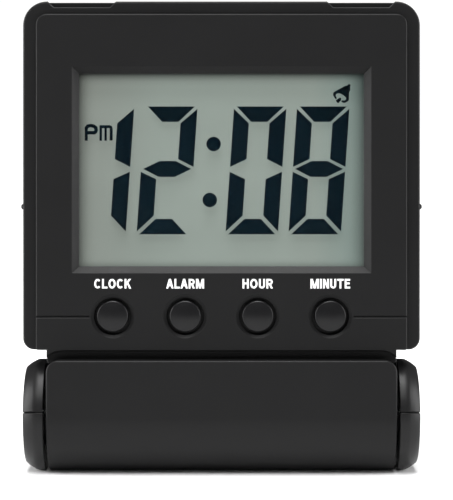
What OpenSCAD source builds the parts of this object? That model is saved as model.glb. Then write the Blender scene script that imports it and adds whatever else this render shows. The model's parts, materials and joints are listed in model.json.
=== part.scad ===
// Folding travel alarm clock, standing open with its cover swung behind it as the stand.
// Each sub-part is drawn in the clock's own axes: X to the right, Y to the back, Z up the
// face, with the hinge axis on X. stand() then leans the clock back on its foot and cover.
// Sub-parts of the cover are drawn with the cover shut and swung open by swing().

/* [Body] */
// Width of the clock body and of the cover
body_w = 66; // [66:0.5:70]
// Height of the top of the body above the hinge axis
body_top = 69; // [69:0.5:72]
// Height of the shoulders' underside above the hinge axis
shoulder_z = 11.1; // [11.1:0.1:11.6]
// Corner radius at the top of the body
corner_top = 4; // [3:0.5:5]
// Corner radius at the shoulders
corner_low = 1.9; // [1:0.1:2.2]
// Distance of the band round the bezel in front of the hinge axis
band_y = 5; // [4.8:0.1:5]
// Distance of the bezel's face in front of the hinge axis
bezel_y = 6.4; // [6.3:0.05:6.5]
// Width of the bezel
bezel_w = 61.5; // [61:0.1:61.5]
// Distance from the bezel's top edge to the top of the body
bezel_gap = 2.2; // [2.2:0.1:2.6]
// Wall thickness of the shells
wall = 1.6; // [1.5:0.05:1.7]
// Rounding of the edges round the back
back_round = 3; // [2:0.25:3.5]
// Distance of the joint between the two shells behind the hinge axis
split_y = 2; // [2:0.1:2.2]

/* [Barrel] */
// Radius of the barrel and the hinge discs, half the folded thickness
barrel_r = 9.35; // [9.3:0.05:9.5]
// Height of the barrel's top edge above the hinge axis
barrel_top = 9.5; // [9.4:0.05:9.6]
// Half length of the barrel
barrel_half = 28.87; // [28.8:0.01:28.9]
// Half width of the neck between the barrel and the shoulders
neck_half = 29; // [28.9:0.05:29.05]
// Width of the flat that the barrel stands on
foot_w = 3; // [2:0.25:4]

/* [Window] */
// Width of the window at the bezel's face
window_w = 49.6; // [48:0.2:49.6]
// Height of the window at the bezel's face
window_h = 34.3; // [33:0.1:34.3]
// Height of the window's centre above the hinge axis
window_z = 40.95; // [40.8:0.05:41]
// Width of the sloping edge round the window
window_slope = 1.15; // [0.8:0.05:1.2]

/* [Keys] */
// Radius of a key
key_r = 2.6; // [2.4:0.05:2.7]
// Radius of the hole round a key
key_hole_r = 3.12; // [3:0.01:3.2]
// Distance between neighbouring keys
key_pitch = 12; // [11.8:0.1:12.2]
// Height of the row of keys above the hinge axis
key_z = 16.7; // [16.6:0.05:16.8]
// Distance that a key stands out of the bezel's face
key_proud = 0.65; // [0.6:0.05:0.75]
// Distance that a key travels
key_travel = 0.5; // [0.3:0.05:0.5]

/* [Cover] */
// Thickness of the cover's plate
plate_t = 1.7; // [1.5:0.1:1.7]
// Width of the cover's rim
rim_w = 1.9; // [1.7:0.1:1.9]
// Angle that the cover swings from shut to its open stop
open_angle = 263.2; // [262:0.2:266]
// Length of the hooks that enter the notches
hook_l = 2.1; // [1.5:0.1:2.2]
// Half width of the gap between the hinge discs
disc_in = 29.36; // [29.3:0.01:29.4]
// Distance from the middle to a disc's outer face
disc_out = 32.95; // [32.9:0.05:33.5]

/* [Battery] */
// Radius of the AAA cell
cell_r = 5.25; // [5:0.05:5.25]
// Length of the AAA cell
cell_l = 44.5; // [44:0.1:44.5]
// Radius of the battery wires and buzzer wires
wire_r = 0.45; // [0.3:0.05:0.5]

/* [Hidden] */
$fn = 64;
key_x = [for (i = [0:3]) (i - 1.5) * key_pitch];

// Routes of the wires, by hand: from a contact plate up through the neck to the back of the board,
// and from the board to the buzzer's two faces
battery_route = [
    [24, 2.5, 6.6], [22, 2.5, 6.7], [16, 2.6, 6.8], [10, 2.2, 6.8], [5, 1, 6.9], [3.2, 0.2, 8.2],
    [3, -0.6, 10], [3, -0.6, 12], [3, 0, 13], [3, 2.8, 13.2], [3, 3.4, 14.6], [3, 3, 16], [3, 1.9, 16]
];
buzzer_routes = [
    [
        [-3, 1.9, 24], [-3, 3, 24], [-3.6, 4, 25], [-5.5, 4.6, 27.5], [-7.2, 4.7, 30.2], [-8, 5, 32],
        [-8, 5.4, 32.4], [-8, 5.86, 32.4]
    ], [
        [-1, 1.9, 24], [-1, 3, 24], [-1, 4.2, 25.2], [-1.6, 4.7, 28], [-2.2, 4.9, 31], [-2.9, 5.1, 34],
        [-3, 5.5, 34.6], [-3, 6.06, 34.6]
    ]
];

clip = 0.01;                      // overlap that keeps a cut clean
half_w = body_w / 2;
bezel_top = body_top - bezel_gap;
bezel_low = shoulder_z - 0.2;
bezel_corner = 1.75;
band_in = 3.6;                    // inner face of the front wall, in front of the axis
lens_seat = 4.8;                  // depth of the lens pocket and key pockets
back_y = barrel_r;                // the back is flush with the barrel
cave_half = half_w - wall;
cave_low = shoulder_z + wall;
cave_top = body_top - wall;
window_low = window_z - window_h / 2;

// Notches for the cover's hooks
notch_mid = 23.2;
notch_top_w = 11.4;
notch_low_w = 9.3;
notch_deep = 1;
notch_back = band_y - 2.4;        // the notch stops here, in front of the axis
hook_fit = 0.3;

// Bosses and screws
case_screw_at = [for (x = [-28, 28], z = [body_top - 5.2, shoulder_z + 4.9]) [x, z]];
case_boss_r = 2.2;
case_shank_r = 0.8;
case_head_r = 1.5;
case_head_seat = 6;
case_tip = -1.4;
board_screw_at = [for (x = [-23.6, 23.6], z = [61.2, 20.6]) [x, z]];
board_boss_r = 1.7;
board_shank_r = 0.55;
board_head_r = 1.15;
board_tip = -1.6;
thread_fit = 0.05;

// Circuit board and display stack, as distances behind the hinge axis
board_front = 0.7;                // the keys' flanges travel into the room in front of this
board_back = 1.9;
board_half = 25.6;
board_low = 13.9;
board_top = 62.9;
glass_half = 24.4;
glass_low = 23.6;
glass_top = 58.4;
strip_w = 0.9;
rear_margin = strip_w + 0.2;       // the rear glass stops short of the contact strips
front_glass_y = -3.7;
rear_glass_y = -2.6;
reflector_y = -1.5;
reflector_back = -1.3;

// Switches
switch_w = 4.6;
switch_front = -0.9;
plunger_r = 0.8;
plunger_front = -1.5;
plunger_back = -0.3;
flange_r = 3.7;

// Buzzer and the holes behind it
buzzer_at = [-11, 36];
buzzer_r = 10;
brass_t = 0.3;
sound_hole_r = 0.7;
sound_ring_r = 4;
buzzer_y = back_y - wall - 1.65;

// Battery bay
bay_half = 24.4;
contact_t = 0.4;
cell_right = bay_half - contact_t;
cell_left = cell_right - cell_l;
nub_l = 0.8;
door_tilt = -5;                   // the door faces this far below straight back
door_half_l = 23.5;
door_half_h = 5.9;
door_fit = 0.1;
passage_w = 10;
barrel_wall = wall;
barrel_cave_r = barrel_r - barrel_wall;
barrel_end_t = 1.57;
barrel_cave_half = barrel_half - barrel_end_t;

// Hinge
pin_r = 1.5;
pin_fit = 0.05;
pin_head_w = 4.6;
pin_head_in = 30.6;
pin_head_out = 31.8;
pin_tip = 25.5;
clip_in = 26;
clip_t = 0.45;
clip_groove_r = 1.1;
washer_r = 3.2;
stop_r = 5;                       // radius of the stop lug's circle
lug_r = 0.6;
lug_l = 1.05;
cap_screw_z = 5.6;
cap_screw_x = 31.15;
cap_seat = 4.2;
cap_shank_r = 0.7;
cap_head_r = 1.3;
seam = 0.1;
disc_profile = [
    [disc_in, 0], [disc_in, barrel_r], [disc_in + 1.34, barrel_r],
    [disc_in + 2.24, barrel_r - 0.45], [disc_out - 0.6, barrel_r - 0.95],
    [disc_out, barrel_r - 1.55], [disc_out, 0]
];

// Cover
plate_in = barrel_r - plate_t;
rim_back = band_y + 0.2;          // the shut rim stops just in front of the band
cover_low_r = norm([barrel_r, barrel_top]) + 0.3;
arm_top = bezel_low - 0.1;

// How far the clock leans back, from its two lines of contact with the table
foot_d = sqrt(pow(barrel_r, 2) - pow(foot_w / 2, 2));
tip_y = -rim_back + hook_l;
tip_z = body_top;
tip_dist = norm([tip_y, tip_z]);
tip_angle = atan2(tip_z, tip_y) + open_angle - 360;
lean = tip_angle + asin(foot_d / tip_dist);

// ---------------------------------------------------------------- placing

// Leans the clock back on its foot and lifts it onto the table
module stand() {
    translate([0, 0, foot_d]) rotate([-lean, 0, 0]) children();
}

// Swings a part of the cover from shut to open
module swing() {
    stand() rotate([open_angle, 0, 0]) children();
}

// Extrudes a front view from one depth to another
module slab(y0, y1) {
    translate([0, y1, 0]) rotate([90, 0, 0]) linear_extrude(y1 - y0) children();
}

// Extrudes a side view, drawn as Y and Z, across the given half width
module across(half) {
    rotate([90, 0, 90]) translate([0, 0, -half]) linear_extrude(2 * half) children();
}

// Turns a child's +Z to face out of the clock's face at a place on it
module facing(x, z) {
    translate([x, 0, z]) rotate([90, 0, 0]) children();
}

// A round post at a place on the face, from one depth to another
module post(at, r, y0, y1) {
    facing(at[0], at[1]) translate([0, 0, -y1]) cylinder(r = r, h = y1 - y0);
}

// A screw driven from behind: its shank from tip to seat, and its cross-slotted head
module screw(at, shank_r, tip_y, seat_y, head_r, head_t) {
    slot_l = 0.68 * head_r;
    slot_w = 0.3 * head_r;
    post(at, shank_r, tip_y, seat_y);
    difference() {
        post(at, head_r, seat_y, seat_y + head_t);
        facing(at[0], at[1]) for (turn = [0, 90])
            rotate(turn) translate([-slot_l, -slot_w / 2, -seat_y - head_t - 0.1])
                cube([2 * slot_l, slot_w, 0.6 * head_t + 0.1]);
    }
}

// Turns a child's +Z to point along X, to the left or to the right
module sideways(side) {
    rotate([0, side * 90, 0]) children();
}

// A rectangle with rounded corners, its low and top corners of different radii
module soft_rect(half, low, top, r_low, r_top) {
    translate([-half, low + r_low]) square([2 * half, top - low - r_low - r_top]);
    for (end = [[low + r_low, r_low, -1], [top - r_top, r_top, 1]]) {
        translate([-half + end[1], min(end[0], end[0] + end[2] * end[1])])
            square([2 * (half - end[1]), end[1]]);
        for (side = [-1, 1])
            translate([side * (half - end[1]), end[0]]) circle(end[1]);
    }
}

// ---------------------------------------------------------------- case

// Outer block of the body, with its rounded edges round the back
module body_block() {
    intersection() {
        slab(-band_y, back_y) soft_rect(half_w, shoulder_z, body_top, corner_low, corner_top);
        across(half_w + 1) union() {
            translate([-band_y - 1, shoulder_z])
                square([band_y + 1 + back_y - back_round, body_top - shoulder_z]);
            translate([0, shoulder_z])
                square([back_y, body_top - shoulder_z - back_round]);
            translate([back_y - back_round, body_top - back_round]) circle(back_round);
        }
        linear_extrude(body_top + 1) union() {
            translate([-half_w, -band_y - 1])
                square([body_w, band_y + 1 + back_y - back_round]);
            translate([-half_w + back_round, 0])
                square([body_w - 2 * back_round, back_y]);
            for (side = [-1, 1])
                translate([side * (half_w - back_round), back_y - back_round]) circle(back_round);
        }
    }
}

// Side view of the barrel: round below, upright in front and behind
module barrel_profile(r, top) {
    circle(r);
    translate([-r, 0]) square([2 * r, top]);
}

module barrel_block() {
    intersection() {
        across(barrel_half) barrel_profile(barrel_r, barrel_top);
        slab(-barrel_r - 1, barrel_r + 1)
            soft_rect(barrel_half, -barrel_r - 0.3, barrel_top, 0.8, 1.9);
    }
}

// Front view of the groove between the bezel and the barrel, its ends rounded
module groove_outline() {
    round_r = 3.5;
    mid = neck_half - 2.6;
    intersection() {
        union() {
            translate([-mid, barrel_top]) square([2 * mid, bezel_low - barrel_top]);
            for (side = [-1, 1])
                translate([side * mid, bezel_low - round_r]) circle(round_r);
        }
        translate([-neck_half - 1, barrel_top]) square([2 * neck_half + 2, bezel_low - barrel_top]);
    }
}

// Front view of the raised bezel, down over the neck to the groove
module bezel_outline() {
    soft_rect(bezel_w / 2, shoulder_z, bezel_top, 0.3, bezel_corner);
    difference() {
        translate([-neck_half, barrel_top]) square([2 * neck_half, shoulder_z - barrel_top + 1]);
        groove_outline();
    }
}

// The opening of the window with its four sloping edges
module window_cut() {
    low = window_slope;
    points = [
        for (step = [[0, -bezel_y - clip], [low, -bezel_y + 1.2]])
            for (corner = [[-1, -1], [1, -1], [1, 1], [-1, 1]])
                [corner[0] * (window_w / 2 - step[0]), step[1],
                 window_z + corner[1] * (window_h / 2 - step[0])]
    ];
    slopes = [for (i = [0:3]) let (next = (i + 1) % 4) [i, next, next + 4, i + 4]];
    polyhedron(points, concat([[3, 2, 1, 0], [4, 5, 6, 7]], slopes));
    translate([-window_w / 2 + low, -bezel_y + 1, window_low + low])
        cube([window_w - 2 * low, bezel_y, window_h - 2 * low]);
}

module key_cut(x) {
    facing(x, key_z) {
        cylinder(r = key_hole_r, h = bezel_y + 1);
        translate([0, 0, bezel_y - 0.5]) cylinder(r1 = key_hole_r, r2 = key_hole_r + 0.55, h = 0.5 + clip);
        translate([0, 0, band_in - clip]) cylinder(r = flange_r + 0.2, h = lens_seat - band_in + clip);
    }
}

// The line pressed into the bezel from each edge to its outer key
module key_line() {
    start = key_x[3] + key_hole_r + 0.55;
    depth = 0.35;
    for (side = [-1, 1])
        translate([side * (start + bezel_w / 2 + 1) / 2, -bezel_y, key_z - 0.1])
            rotate([45, 0, 0]) cube([bezel_w / 2 + 1 - start, depth, depth] , center = true);
}

// A notch in the top edge, in front view
module notch_outline(top_w, low_w, deep) {
    half = [[low_w / 2, -deep], [top_w / 2, 0], [top_w / 2, 1]];
    polygon(concat(half, [for (i = [2:-1:0]) [-half[i][0], half[i][1]]]));
}

module notch_cut() {
    for (side = [-1, 1])
        slab(-band_y - 1, -notch_back)
            translate([side * notch_mid, body_top]) notch_outline(notch_top_w, notch_low_w, notch_deep);
}

// The door's outline seen along its own direction, grown by a margin
module door_block(margin) {
    rotate([door_tilt, 0, 0])
        translate([-door_half_l - margin, 0, -door_half_h - margin])
            cube([2 * (door_half_l + margin), barrel_r + 2, 2 * (door_half_h + margin)]);
}

// Ribs that hold the cell from the front
module cell_ribs() {
    for (x = [-12, 12])
        translate([x, 0, 0]) difference() {
            across(0.6) intersection() {
                barrel_profile(barrel_cave_r + 0.2, barrel_top - barrel_wall + 0.2);
                translate([-barrel_r, -barrel_r]) square([barrel_r, 2 * barrel_r]);
            }
            across(1) circle(cell_r + 0.1);
            translate([-1, -2.5, 0]) cube([2, 3, barrel_r]);
        }
}

module front_case() {
    color("#29292b") difference() {
        stand() union() {
            difference() {
                union() {
                    intersection() {
                        body_block();
                        slab(-band_y - 1, split_y) square(4 * body_top, center = true);
                    }
                    slab(-bezel_y, -band_y + clip) bezel_outline();
                    translate([-neck_half, -band_y, barrel_top - 1])
                        cube([2 * neck_half, band_y + split_y, shoulder_z - barrel_top + 2]);
                    barrel_block();
                    for (side = [-1, 1])
                        translate([side * half_w, -1.5, 34.9]) rotate([90, 0, 0])
                            cylinder(r = 0.55, h = 3, center = true);
                }
                slab(-band_in, split_y + 1)
                    soft_rect(cave_half, cave_low, cave_top, 0.5, corner_top - wall);
                across(barrel_cave_half) barrel_profile(barrel_cave_r, barrel_top - barrel_wall);
                slab(-lens_seat, -band_in + clip)
                    soft_rect(25.4, 22.9, 59, 0.6, 0.6);
                window_cut();
                notch_cut();
                for (x = key_x) key_cut(x);
                key_line();
                door_block(door_fit);
                // passage for the battery wires, from the barrel up into the body
                translate([-passage_w / 2, -2.2, barrel_top - barrel_wall - 1])
                    cube([passage_w, 3.4, cave_low - barrel_top + barrel_wall + 2]);
                for (side = [-1, 1])
                    sideways(side) cylinder(r = pin_r + pin_fit, h = barrel_half + 1);
            }
            for (at = case_screw_at)
                difference() {
                    post(at, case_boss_r, -band_in - 0.2, split_y);
                    post(at, case_shank_r + thread_fit, case_tip - 0.6, split_y + clip);
                }
            for (at = board_screw_at)
                difference() {
                    post(at, board_boss_r, -band_in - 0.2, board_front);
                    post(at, board_shank_r + thread_fit, board_tip - 0.6, board_front + clip);
                }
            // walls at the ends of the battery bay, and the ribs that cradle the cell
            for (side = [-1, 1])
                translate([side * (bay_half + 0.4), 0, 0]) difference() {
                    across(0.4) barrel_profile(barrel_cave_r + 0.2, barrel_top - barrel_wall + 0.2);
                    door_block(door_fit);
                }
            cell_ribs();
            // the lug that stops the hinge at each end of its swing
            for (side = [-1, 1])
                translate([side * (barrel_half - 0.5), stop_r, 0])
                    sideways(side) cylinder(r = lug_r, h = lug_l + 0.5);
        }
        // the flat under the barrel
        translate([-body_w, -5, -5]) cube([2 * body_w, 10, 5]);
    }
}

module rear_case() {
    color("#2b2b2d") stand() difference() {
        union() {
            difference() {
                intersection() {
                    body_block();
                    slab(split_y, back_y + 1) square(4 * body_top, center = true);
                }
                slab(split_y - clip, back_y - wall)
                    soft_rect(cave_half, cave_low, cave_top, 0.5, corner_top - wall);
            }
            translate([-neck_half, split_y, barrel_top])
                cube([2 * neck_half, back_y - split_y, shoulder_z - barrel_top + 1]);
            for (at = case_screw_at)
                post(at, case_boss_r + 0.4, split_y, back_y - wall + 0.1);
            // the seat that the buzzer is glued to
            difference() {
                post(buzzer_at, buzzer_r + 0.9, buzzer_y, back_y - wall + 0.1);
                post(buzzer_at, buzzer_r - 0.7, buzzer_y - 1, back_y);
                post(buzzer_at, buzzer_r + 0.1, buzzer_y - 1, buzzer_y + brass_t);
            }
        }
        for (at = case_screw_at) {
            post(at, case_shank_r + 0.2, split_y - 1, back_y);
            post(at, case_head_r + 0.25, case_head_seat, back_y + 1);
        }
        post(buzzer_at, sound_hole_r, back_y - wall - 1, back_y + 1);
        for (turn = [0:60:300]) let (ring = sound_ring_r * [cos(turn), sin(turn)])
            post(buzzer_at + ring, sound_hole_r, back_y - wall - 1, back_y + 1);
    }
}

module case_screws() {
    color("silver") stand() for (at = case_screw_at)
        screw(at, case_shank_r, case_tip, case_head_seat, case_head_r, 1.1);
}

// ---------------------------------------------------------------- display and board

module lens() {
    color("lightcyan", 0.5) stand() slab(-lens_seat, -lens_seat + 1) soft_rect(25.2, 23.1, 58.8, 0.5, 0.5);
}

module lcd_front_glass() {
    color("#9aa49c") stand() slab(front_glass_y, rear_glass_y)
        translate([-glass_half, glass_low]) square([2 * glass_half, glass_top - glass_low]);
}

// Front view of the rear glass and of the film behind it
module rear_outline() {
    translate([-glass_half, glass_low + rear_margin])
        square([2 * glass_half, glass_top - glass_low - 2 * rear_margin]);
}

module lcd_rear_glass() {
    color("#909a92") stand() slab(rear_glass_y, reflector_y)
        rear_outline();
}

module lcd_reflector() {
    color("#b9c0ba") stand() slab(reflector_y, reflector_back)
        rear_outline();
}

// One rubber contact strip between the glass and the board
module zebra(low) {
    color("#c9b9a2") stand() slab(rear_glass_y, board_front)
        translate([-glass_half + 1.4, low]) square([2 * glass_half - 2.8, strip_w]);
}

module zebra_upper() {
    zebra(glass_top - strip_w - 0.1);
}

module zebra_lower() {
    zebra(glass_low + 0.1);
}

module lcd_holder() {
    rim = 1.4;
    color("#e4e4e0") stand() slab(-band_in, board_front) difference() {
        translate([-glass_half - 0.1 - rim, glass_low - 0.9])
            square([2 * (glass_half + 0.1 + rim), glass_top - glass_low + 1.8]);
        translate([-glass_half - 0.1, glass_low - 0.1])
            square([2 * glass_half + 0.2, glass_top - glass_low + 0.2]);
    }
}

module circuit_board() {
    color("#2f6b3a") stand() difference() {
        slab(board_front, board_back)
            soft_rect(board_half, board_low, board_top, 0.8, 0.8);
        for (at = board_screw_at)
            post(at, board_shank_r + 0.15, board_front - 1, board_back + 1);
    }
}

module board_screws() {
    color("silver") stand() for (at = board_screw_at)
        screw(at, board_shank_r, board_tip, board_back, board_head_r, 0.8);
}

// The drop of epoxy over the clock's chip
module clock_chip() {
    dome_r = 12;
    rise = 1.5;
    color("#141416") stand() translate([9, board_back, 42]) rotate([-90, 0, 0]) intersection() {
        cylinder(r = 5.6, h = rise + 1);
        translate([0, 0, rise - dome_r]) sphere(dome_r, $fn = 160);
    }
}

module crystal() {
    color("silver") stand() translate([8, board_back + 1, 27]) {
        sideways(1) cylinder(r = 1, h = 6);
        for (z = [-0.4, 0.4])
            translate([0, 0, z]) sideways(-1) cylinder(r = 0.15, h = 2);
    }
}

// A small chip capacitor on the back of the board
module capacitor(x, z) {
    color("#8a6a48") stand() translate([x - 1, board_back, z - 0.6]) cube([2, 1, 1.2]);
}

module capacitor_1() {
    capacitor(2, 30);
}

module capacitor_2() {
    capacitor(2, 33);
}

// ---------------------------------------------------------------- keys

module key(i) {
    dome_r = 14;
    top = bezel_y + key_proud;
    color("#232325") stand() facing(key_x[i], key_z) intersection() {
        union() {
            translate([0, 0, lens_seat - 0.8]) cylinder(r = key_r, h = top - lens_seat + 0.8);
            translate([0, 0, lens_seat - 0.8]) cylinder(r = flange_r, h = 0.75);
            translate([0, 0, -plunger_front]) cylinder(r = 1.3, h = lens_seat + plunger_front);
        }
        translate([0, 0, top - dome_r]) sphere(dome_r);
    }
}

module plunger(i) {
    color("#d8d4c8") stand() post([key_x[i], key_z], plunger_r, plunger_front, plunger_back);
}

module tact_switch(i) {
    color("#4a4d52") stand() difference() {
        translate([key_x[i] - switch_w / 2, switch_front, key_z - switch_w / 2])
            cube([switch_w, board_front - switch_front, switch_w]);
        post([key_x[i], key_z], plunger_r + 0.08, switch_front - 1, plunger_back + key_travel + 0.1);
    }
}

// ---------------------------------------------------------------- buzzer

module buzzer_plate() {
    color("goldenrod") stand() post(buzzer_at, buzzer_r, buzzer_y, buzzer_y + brass_t);
}

module buzzer_ceramic() {
    color("ivory") stand() post(buzzer_at, 0.7 * buzzer_r, buzzer_y - 0.2, buzzer_y);
}

// ---------------------------------------------------------------- battery

module battery_cell() {
    color("#8d8f92") stand() {
        translate([cell_left, 0, 0]) sideways(1) cylinder(r = cell_r, h = cell_l - nub_l);
        translate([cell_right - nub_l, 0, 0]) sideways(1) cylinder(r = 1.9, h = nub_l);
    }
}

// A plate that closes one end of the bay; the cell or its spring bears on it
module contact_plate(side) {
    stand() translate([side * (bay_half - contact_t / 2), 0, 1.6])
        cube([contact_t, 8, 11.2], center = true);
}

module negative_plate() {
    color("silver") contact_plate(-1);
}

module positive_plate() {
    color("silver") contact_plate(1);
}

// Rings of points round a path, each square to the path there
function unit(v) = v / norm(v);
function heading(path, i) = unit(path[min(i + 1, len(path) - 1)] - path[max(i - 1, 0)]);
function ring(centre, along, hint, r, sides) =
    let (a = unit(cross(along, hint)), b = cross(along, a))
    [for (k = [0:sides - 1]) centre + r * (cos(360 * k / sides) * a + sin(360 * k / sides) * b)];

// A round wire along a path; the hint is a direction that the path never runs in
module wire(path, hint, r, sides) {
    n = len(path);
    points = [for (i = [0:n - 1]) each ring(path[i], heading(path, i), hint, r, sides)];
    sides_faces = [
        for (i = [0:n - 2], k = [0:sides - 1])
            let (next = (k + 1) % sides)
            each [
                [i * sides + k, i * sides + next, (i + 1) * sides + next],
                [i * sides + k, (i + 1) * sides + next, (i + 1) * sides + k]
            ]
    ];
    ends = [
        [for (k = [sides - 1:-1:0]) k],
        [for (k = [0:sides - 1]) (n - 1) * sides + k]
    ];
    polyhedron(points, concat(sides_faces, ends));
}

// A smooth curve through hand-chosen points
function curve_at(p, i, t) =
    let (a = p[max(i - 1, 0)], b = p[i], c = p[i + 1], d = p[min(i + 2, len(p) - 1)])
    0.5 * (2 * b + t * (c - a) + t * t * (2 * a - 5 * b + 4 * c - d) + t * t * t * (3 * b - a - 3 * c + d));
function curve(p, steps) = concat(
    [for (i = [0:len(p) - 2], s = [0:steps - 1]) curve_at(p, i, s / steps)],
    [p[len(p) - 1]]
);

// Conical coil that presses on the flat end of the cell
module battery_spring() {
    turns = 3.5;
    steps = 56;
    wire_thick = 0.25;
    start = -bay_half + contact_t + wire_thick + 0.02;
    stop = cell_left - wire_thick - 0.02;
    path = [
        for (i = [0:steps])
            let (t = i / steps, r = 3.6 - 1.5 * t)
            [start + (stop - start) * t, r * cos(360 * turns * t), r * sin(360 * turns * t)]
    ];
    color("silver") stand() wire(path, [1, 0, 0], wire_thick, 8);
}

module battery_door() {
    leg_t = 0.7;
    color("#2b2b2d") stand() {
        intersection() {
            difference() {
                across(barrel_half) barrel_profile(barrel_r, barrel_top);
                across(barrel_half + 1) barrel_profile(barrel_cave_r, barrel_top - barrel_wall);
            }
            door_block(0);
        }
        // snap legs inside the upper and lower edges
        rotate([door_tilt, 0, 0]) for (x = [-14, 14]) {
            translate([x - 2.5, 4.2, door_half_h - leg_t]) cube([5, 4, leg_t]);
            translate([x - 2.5, 4.2, -door_half_h]) cube([5, 1.4, leg_t]);
        }
    }
}

// A wire from a contact plate to the board
module battery_wire(side) {
    route = [for (p = battery_route) [side * p[0], p[1], p[2]]];
    stand() wire(curve(route, 3), [0.2, 0.9, -0.5], wire_r, 8);
}

module positive_wire() {
    color("red") battery_wire(1);
}

module negative_wire() {
    color("black") battery_wire(-1);
}

module buzzer_wire(i) {
    color(["red", "black"][i]) stand() wire(curve(buzzer_routes[i], 4), [1, 0, 0.2], wire_r * 0.8, 8);
}

// ---------------------------------------------------------------- cover and hinge

// A hinge disc, to be cut along its seam
module disc(side) {
    sideways(side) rotate_extrude() polygon([for (p = disc_profile) [p[1], p[0]]]);
}

// The room inside a disc for the pin's square head, its shaft and the stop lug
module disc_cuts(side) {
    sideways(side) {
        cylinder(r = pin_r + pin_fit, h = pin_head_in + 1);
        translate([-pin_head_w / 2 - 0.05, -pin_head_w / 2 - 0.05, pin_head_in - 0.05])
            cube([pin_head_w + 0.1, pin_head_w + 0.1, pin_head_out - pin_head_in + 0.1]);
    }
    // arc for the lug, open to the inner face
    multmatrix([[0, 0, side, 0], [1, 0, 0, 0], [0, 1, 0, 0], [0, 0, 0, 1]])
        translate([0, 0, disc_in - clip]) stop_arc(barrel_half + lug_l + 0.15 - disc_in);
}

// The arc that the lug runs along while the cover swings, seen along X
module stop_arc(deep) {
    reach = lug_r + 0.1;
    linear_extrude(deep) union() {
        difference() {
            circle(stop_r + reach);
            circle(stop_r - reach);
            polygon([
                [0, 0], 20 * [cos(0), sin(0)], 20 * [cos(45), sin(45)],
                20 * [cos(360 - open_angle), sin(360 - open_angle)]
            ]);
        }
        for (a = [0, -open_angle])
            rotate(a) translate([stop_r, 0]) circle(reach);
    }
}

module cap_screw_at(side) {
    translate([side * cap_screw_x, 0, cap_screw_z]) rotate([-90, 0, 0]) children();
}

// Outer block of the shut cover and its arms, its edges sloped as the discs' are
module cover_block() {
    edge = [for (p = disc_profile) if (p[1] > 0) [p[0] - disc_out, -p[1]]];
    half = [[0, 0], [0, -barrel_r], for (e = edge) [half_w + e[0], e[1]], [half_w, 0]];
    rim = [for (i = [len(edge) - 1:-1:1]) [edge[i][1], body_top + edge[i][0]]];
    side_view = concat([[-1, 0], [-1, body_top]], rim, [[-barrel_r, 0]]);
    intersection() {
        slab(-barrel_r, -rim_back) union() {
            soft_rect(half_w, arm_top - 1, body_top, 0.3, corner_top);
            for (side = [-1, 1])
                translate([side * (disc_in + disc_out) / 2 - (disc_out - disc_in) / 2, 0])
                    square([disc_out - disc_in, arm_top]);
        }
        linear_extrude(body_top + 1) for (side = [0, 1])
            mirror([side, 0]) polygon(half);
        across(half_w + 1) polygon(side_view);
    }
}

// A hook in front view: its notch's outline, smaller all round
module hook_outline() {
    spare = 2 * hook_fit;
    intersection() {
        notch_outline(notch_top_w - spare, notch_low_w - spare, notch_deep - hook_fit);
        translate([-notch_top_w, -2]) square([2 * notch_top_w, 2]);
    }
}

module cover() {
    color("#29292b") swing() difference() {
        union() {
            difference() {
                cover_block();
                slab(-plate_in, -rim_back + 1)
                    soft_rect(half_w - rim_w, arm_top, body_top - rim_w, 0.3, 1.8);
                translate([-disc_in, -plate_in, -1]) cube([2 * disc_in, plate_in, arm_top + 2]);
            }
            for (side = [-1, 1]) {
                intersection() {
                    disc(side);
                    translate([-50, -50, -50]) cube([100, 50, 100]);
                }
                // hook that enters its notch when the cover shuts
                slab(-rim_back - 0.5, -rim_back + hook_l)
                    translate([side * notch_mid, body_top]) hook_outline();
            }
        }
        // hollow edge that clears the barrel as the cover swings
        difference() {
            across(disc_in) circle(cover_low_r);
            across(disc_in + 1) translate([-20, -20]) square([20 - rim_back + 40, 1]);
        }
        for (side = [-1, 1]) {
            disc_cuts(side);
            cap_screw_at(side) translate([0, 0, -5]) cylinder(r = cap_shank_r + thread_fit, h = 6);
        }
    }
}

module hinge_cap(side) {
    color("#2b2b2d") swing() difference() {
        disc(side);
        translate([-50, -100 + seam, -50]) cube([100, 100, 100]);
        disc_cuts(side);
        cap_screw_at(side) {
            cylinder(r = cap_shank_r + thread_fit, h = barrel_r);
            translate([0, 0, cap_seat]) cylinder(r = cap_head_r + 0.15, h = barrel_r);
        }
    }
}

module cap_screws() {
    color("silver") swing() for (side = [-1, 1])
        cap_screw_at(side) {
            translate([0, 0, -4.5]) cylinder(r = cap_shank_r, h = cap_seat + 4.5);
            difference() {
                translate([0, 0, cap_seat]) cylinder(r = cap_head_r, h = 1);
                for (turn = [0, 90])
                    rotate(turn) translate([-0.9, -0.2, cap_seat + 0.5]) cube([1.8, 0.4, 1]);
            }
        }
}

module hinge_pin(side) {
    color("gainsboro") swing() sideways(side) difference() {
        union() {
            translate([0, 0, pin_tip]) cylinder(r = pin_r, h = pin_head_in - pin_tip);
            translate([-pin_head_w / 2, -pin_head_w / 2, pin_head_in])
                cube([pin_head_w, pin_head_w, pin_head_out - pin_head_in]);
        }
        translate([0, 0, clip_in]) difference() {
            cylinder(r = pin_r + 1, h = clip_t + 0.05);
            translate([0, 0, -1]) cylinder(r = clip_groove_r, h = 3);
        }
    }
}

module friction_washer(side) {
    inner = clip_in + clip_t + 0.07;
    color("silver") swing() sideways(side) translate([0, 0, inner]) difference() {
        cylinder(r = washer_r, h = barrel_cave_half - 0.02 - inner);
        translate([0, 0, -1]) cylinder(r = pin_r + 0.1, h = 3);
    }
}

module retaining_clip(side) {
    color("silver") swing() sideways(side) translate([0, 0, clip_in + 0.02]) difference() {
        cylinder(r = 2.8, h = clip_t);
        translate([0, 0, -1]) cylinder(r = clip_groove_r + 0.03, h = 3);
        translate([0, -0.9, -1]) cube([4, 1.8, 3]);
    }
}

// ---------------------------------------------------------------- drawing

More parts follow.
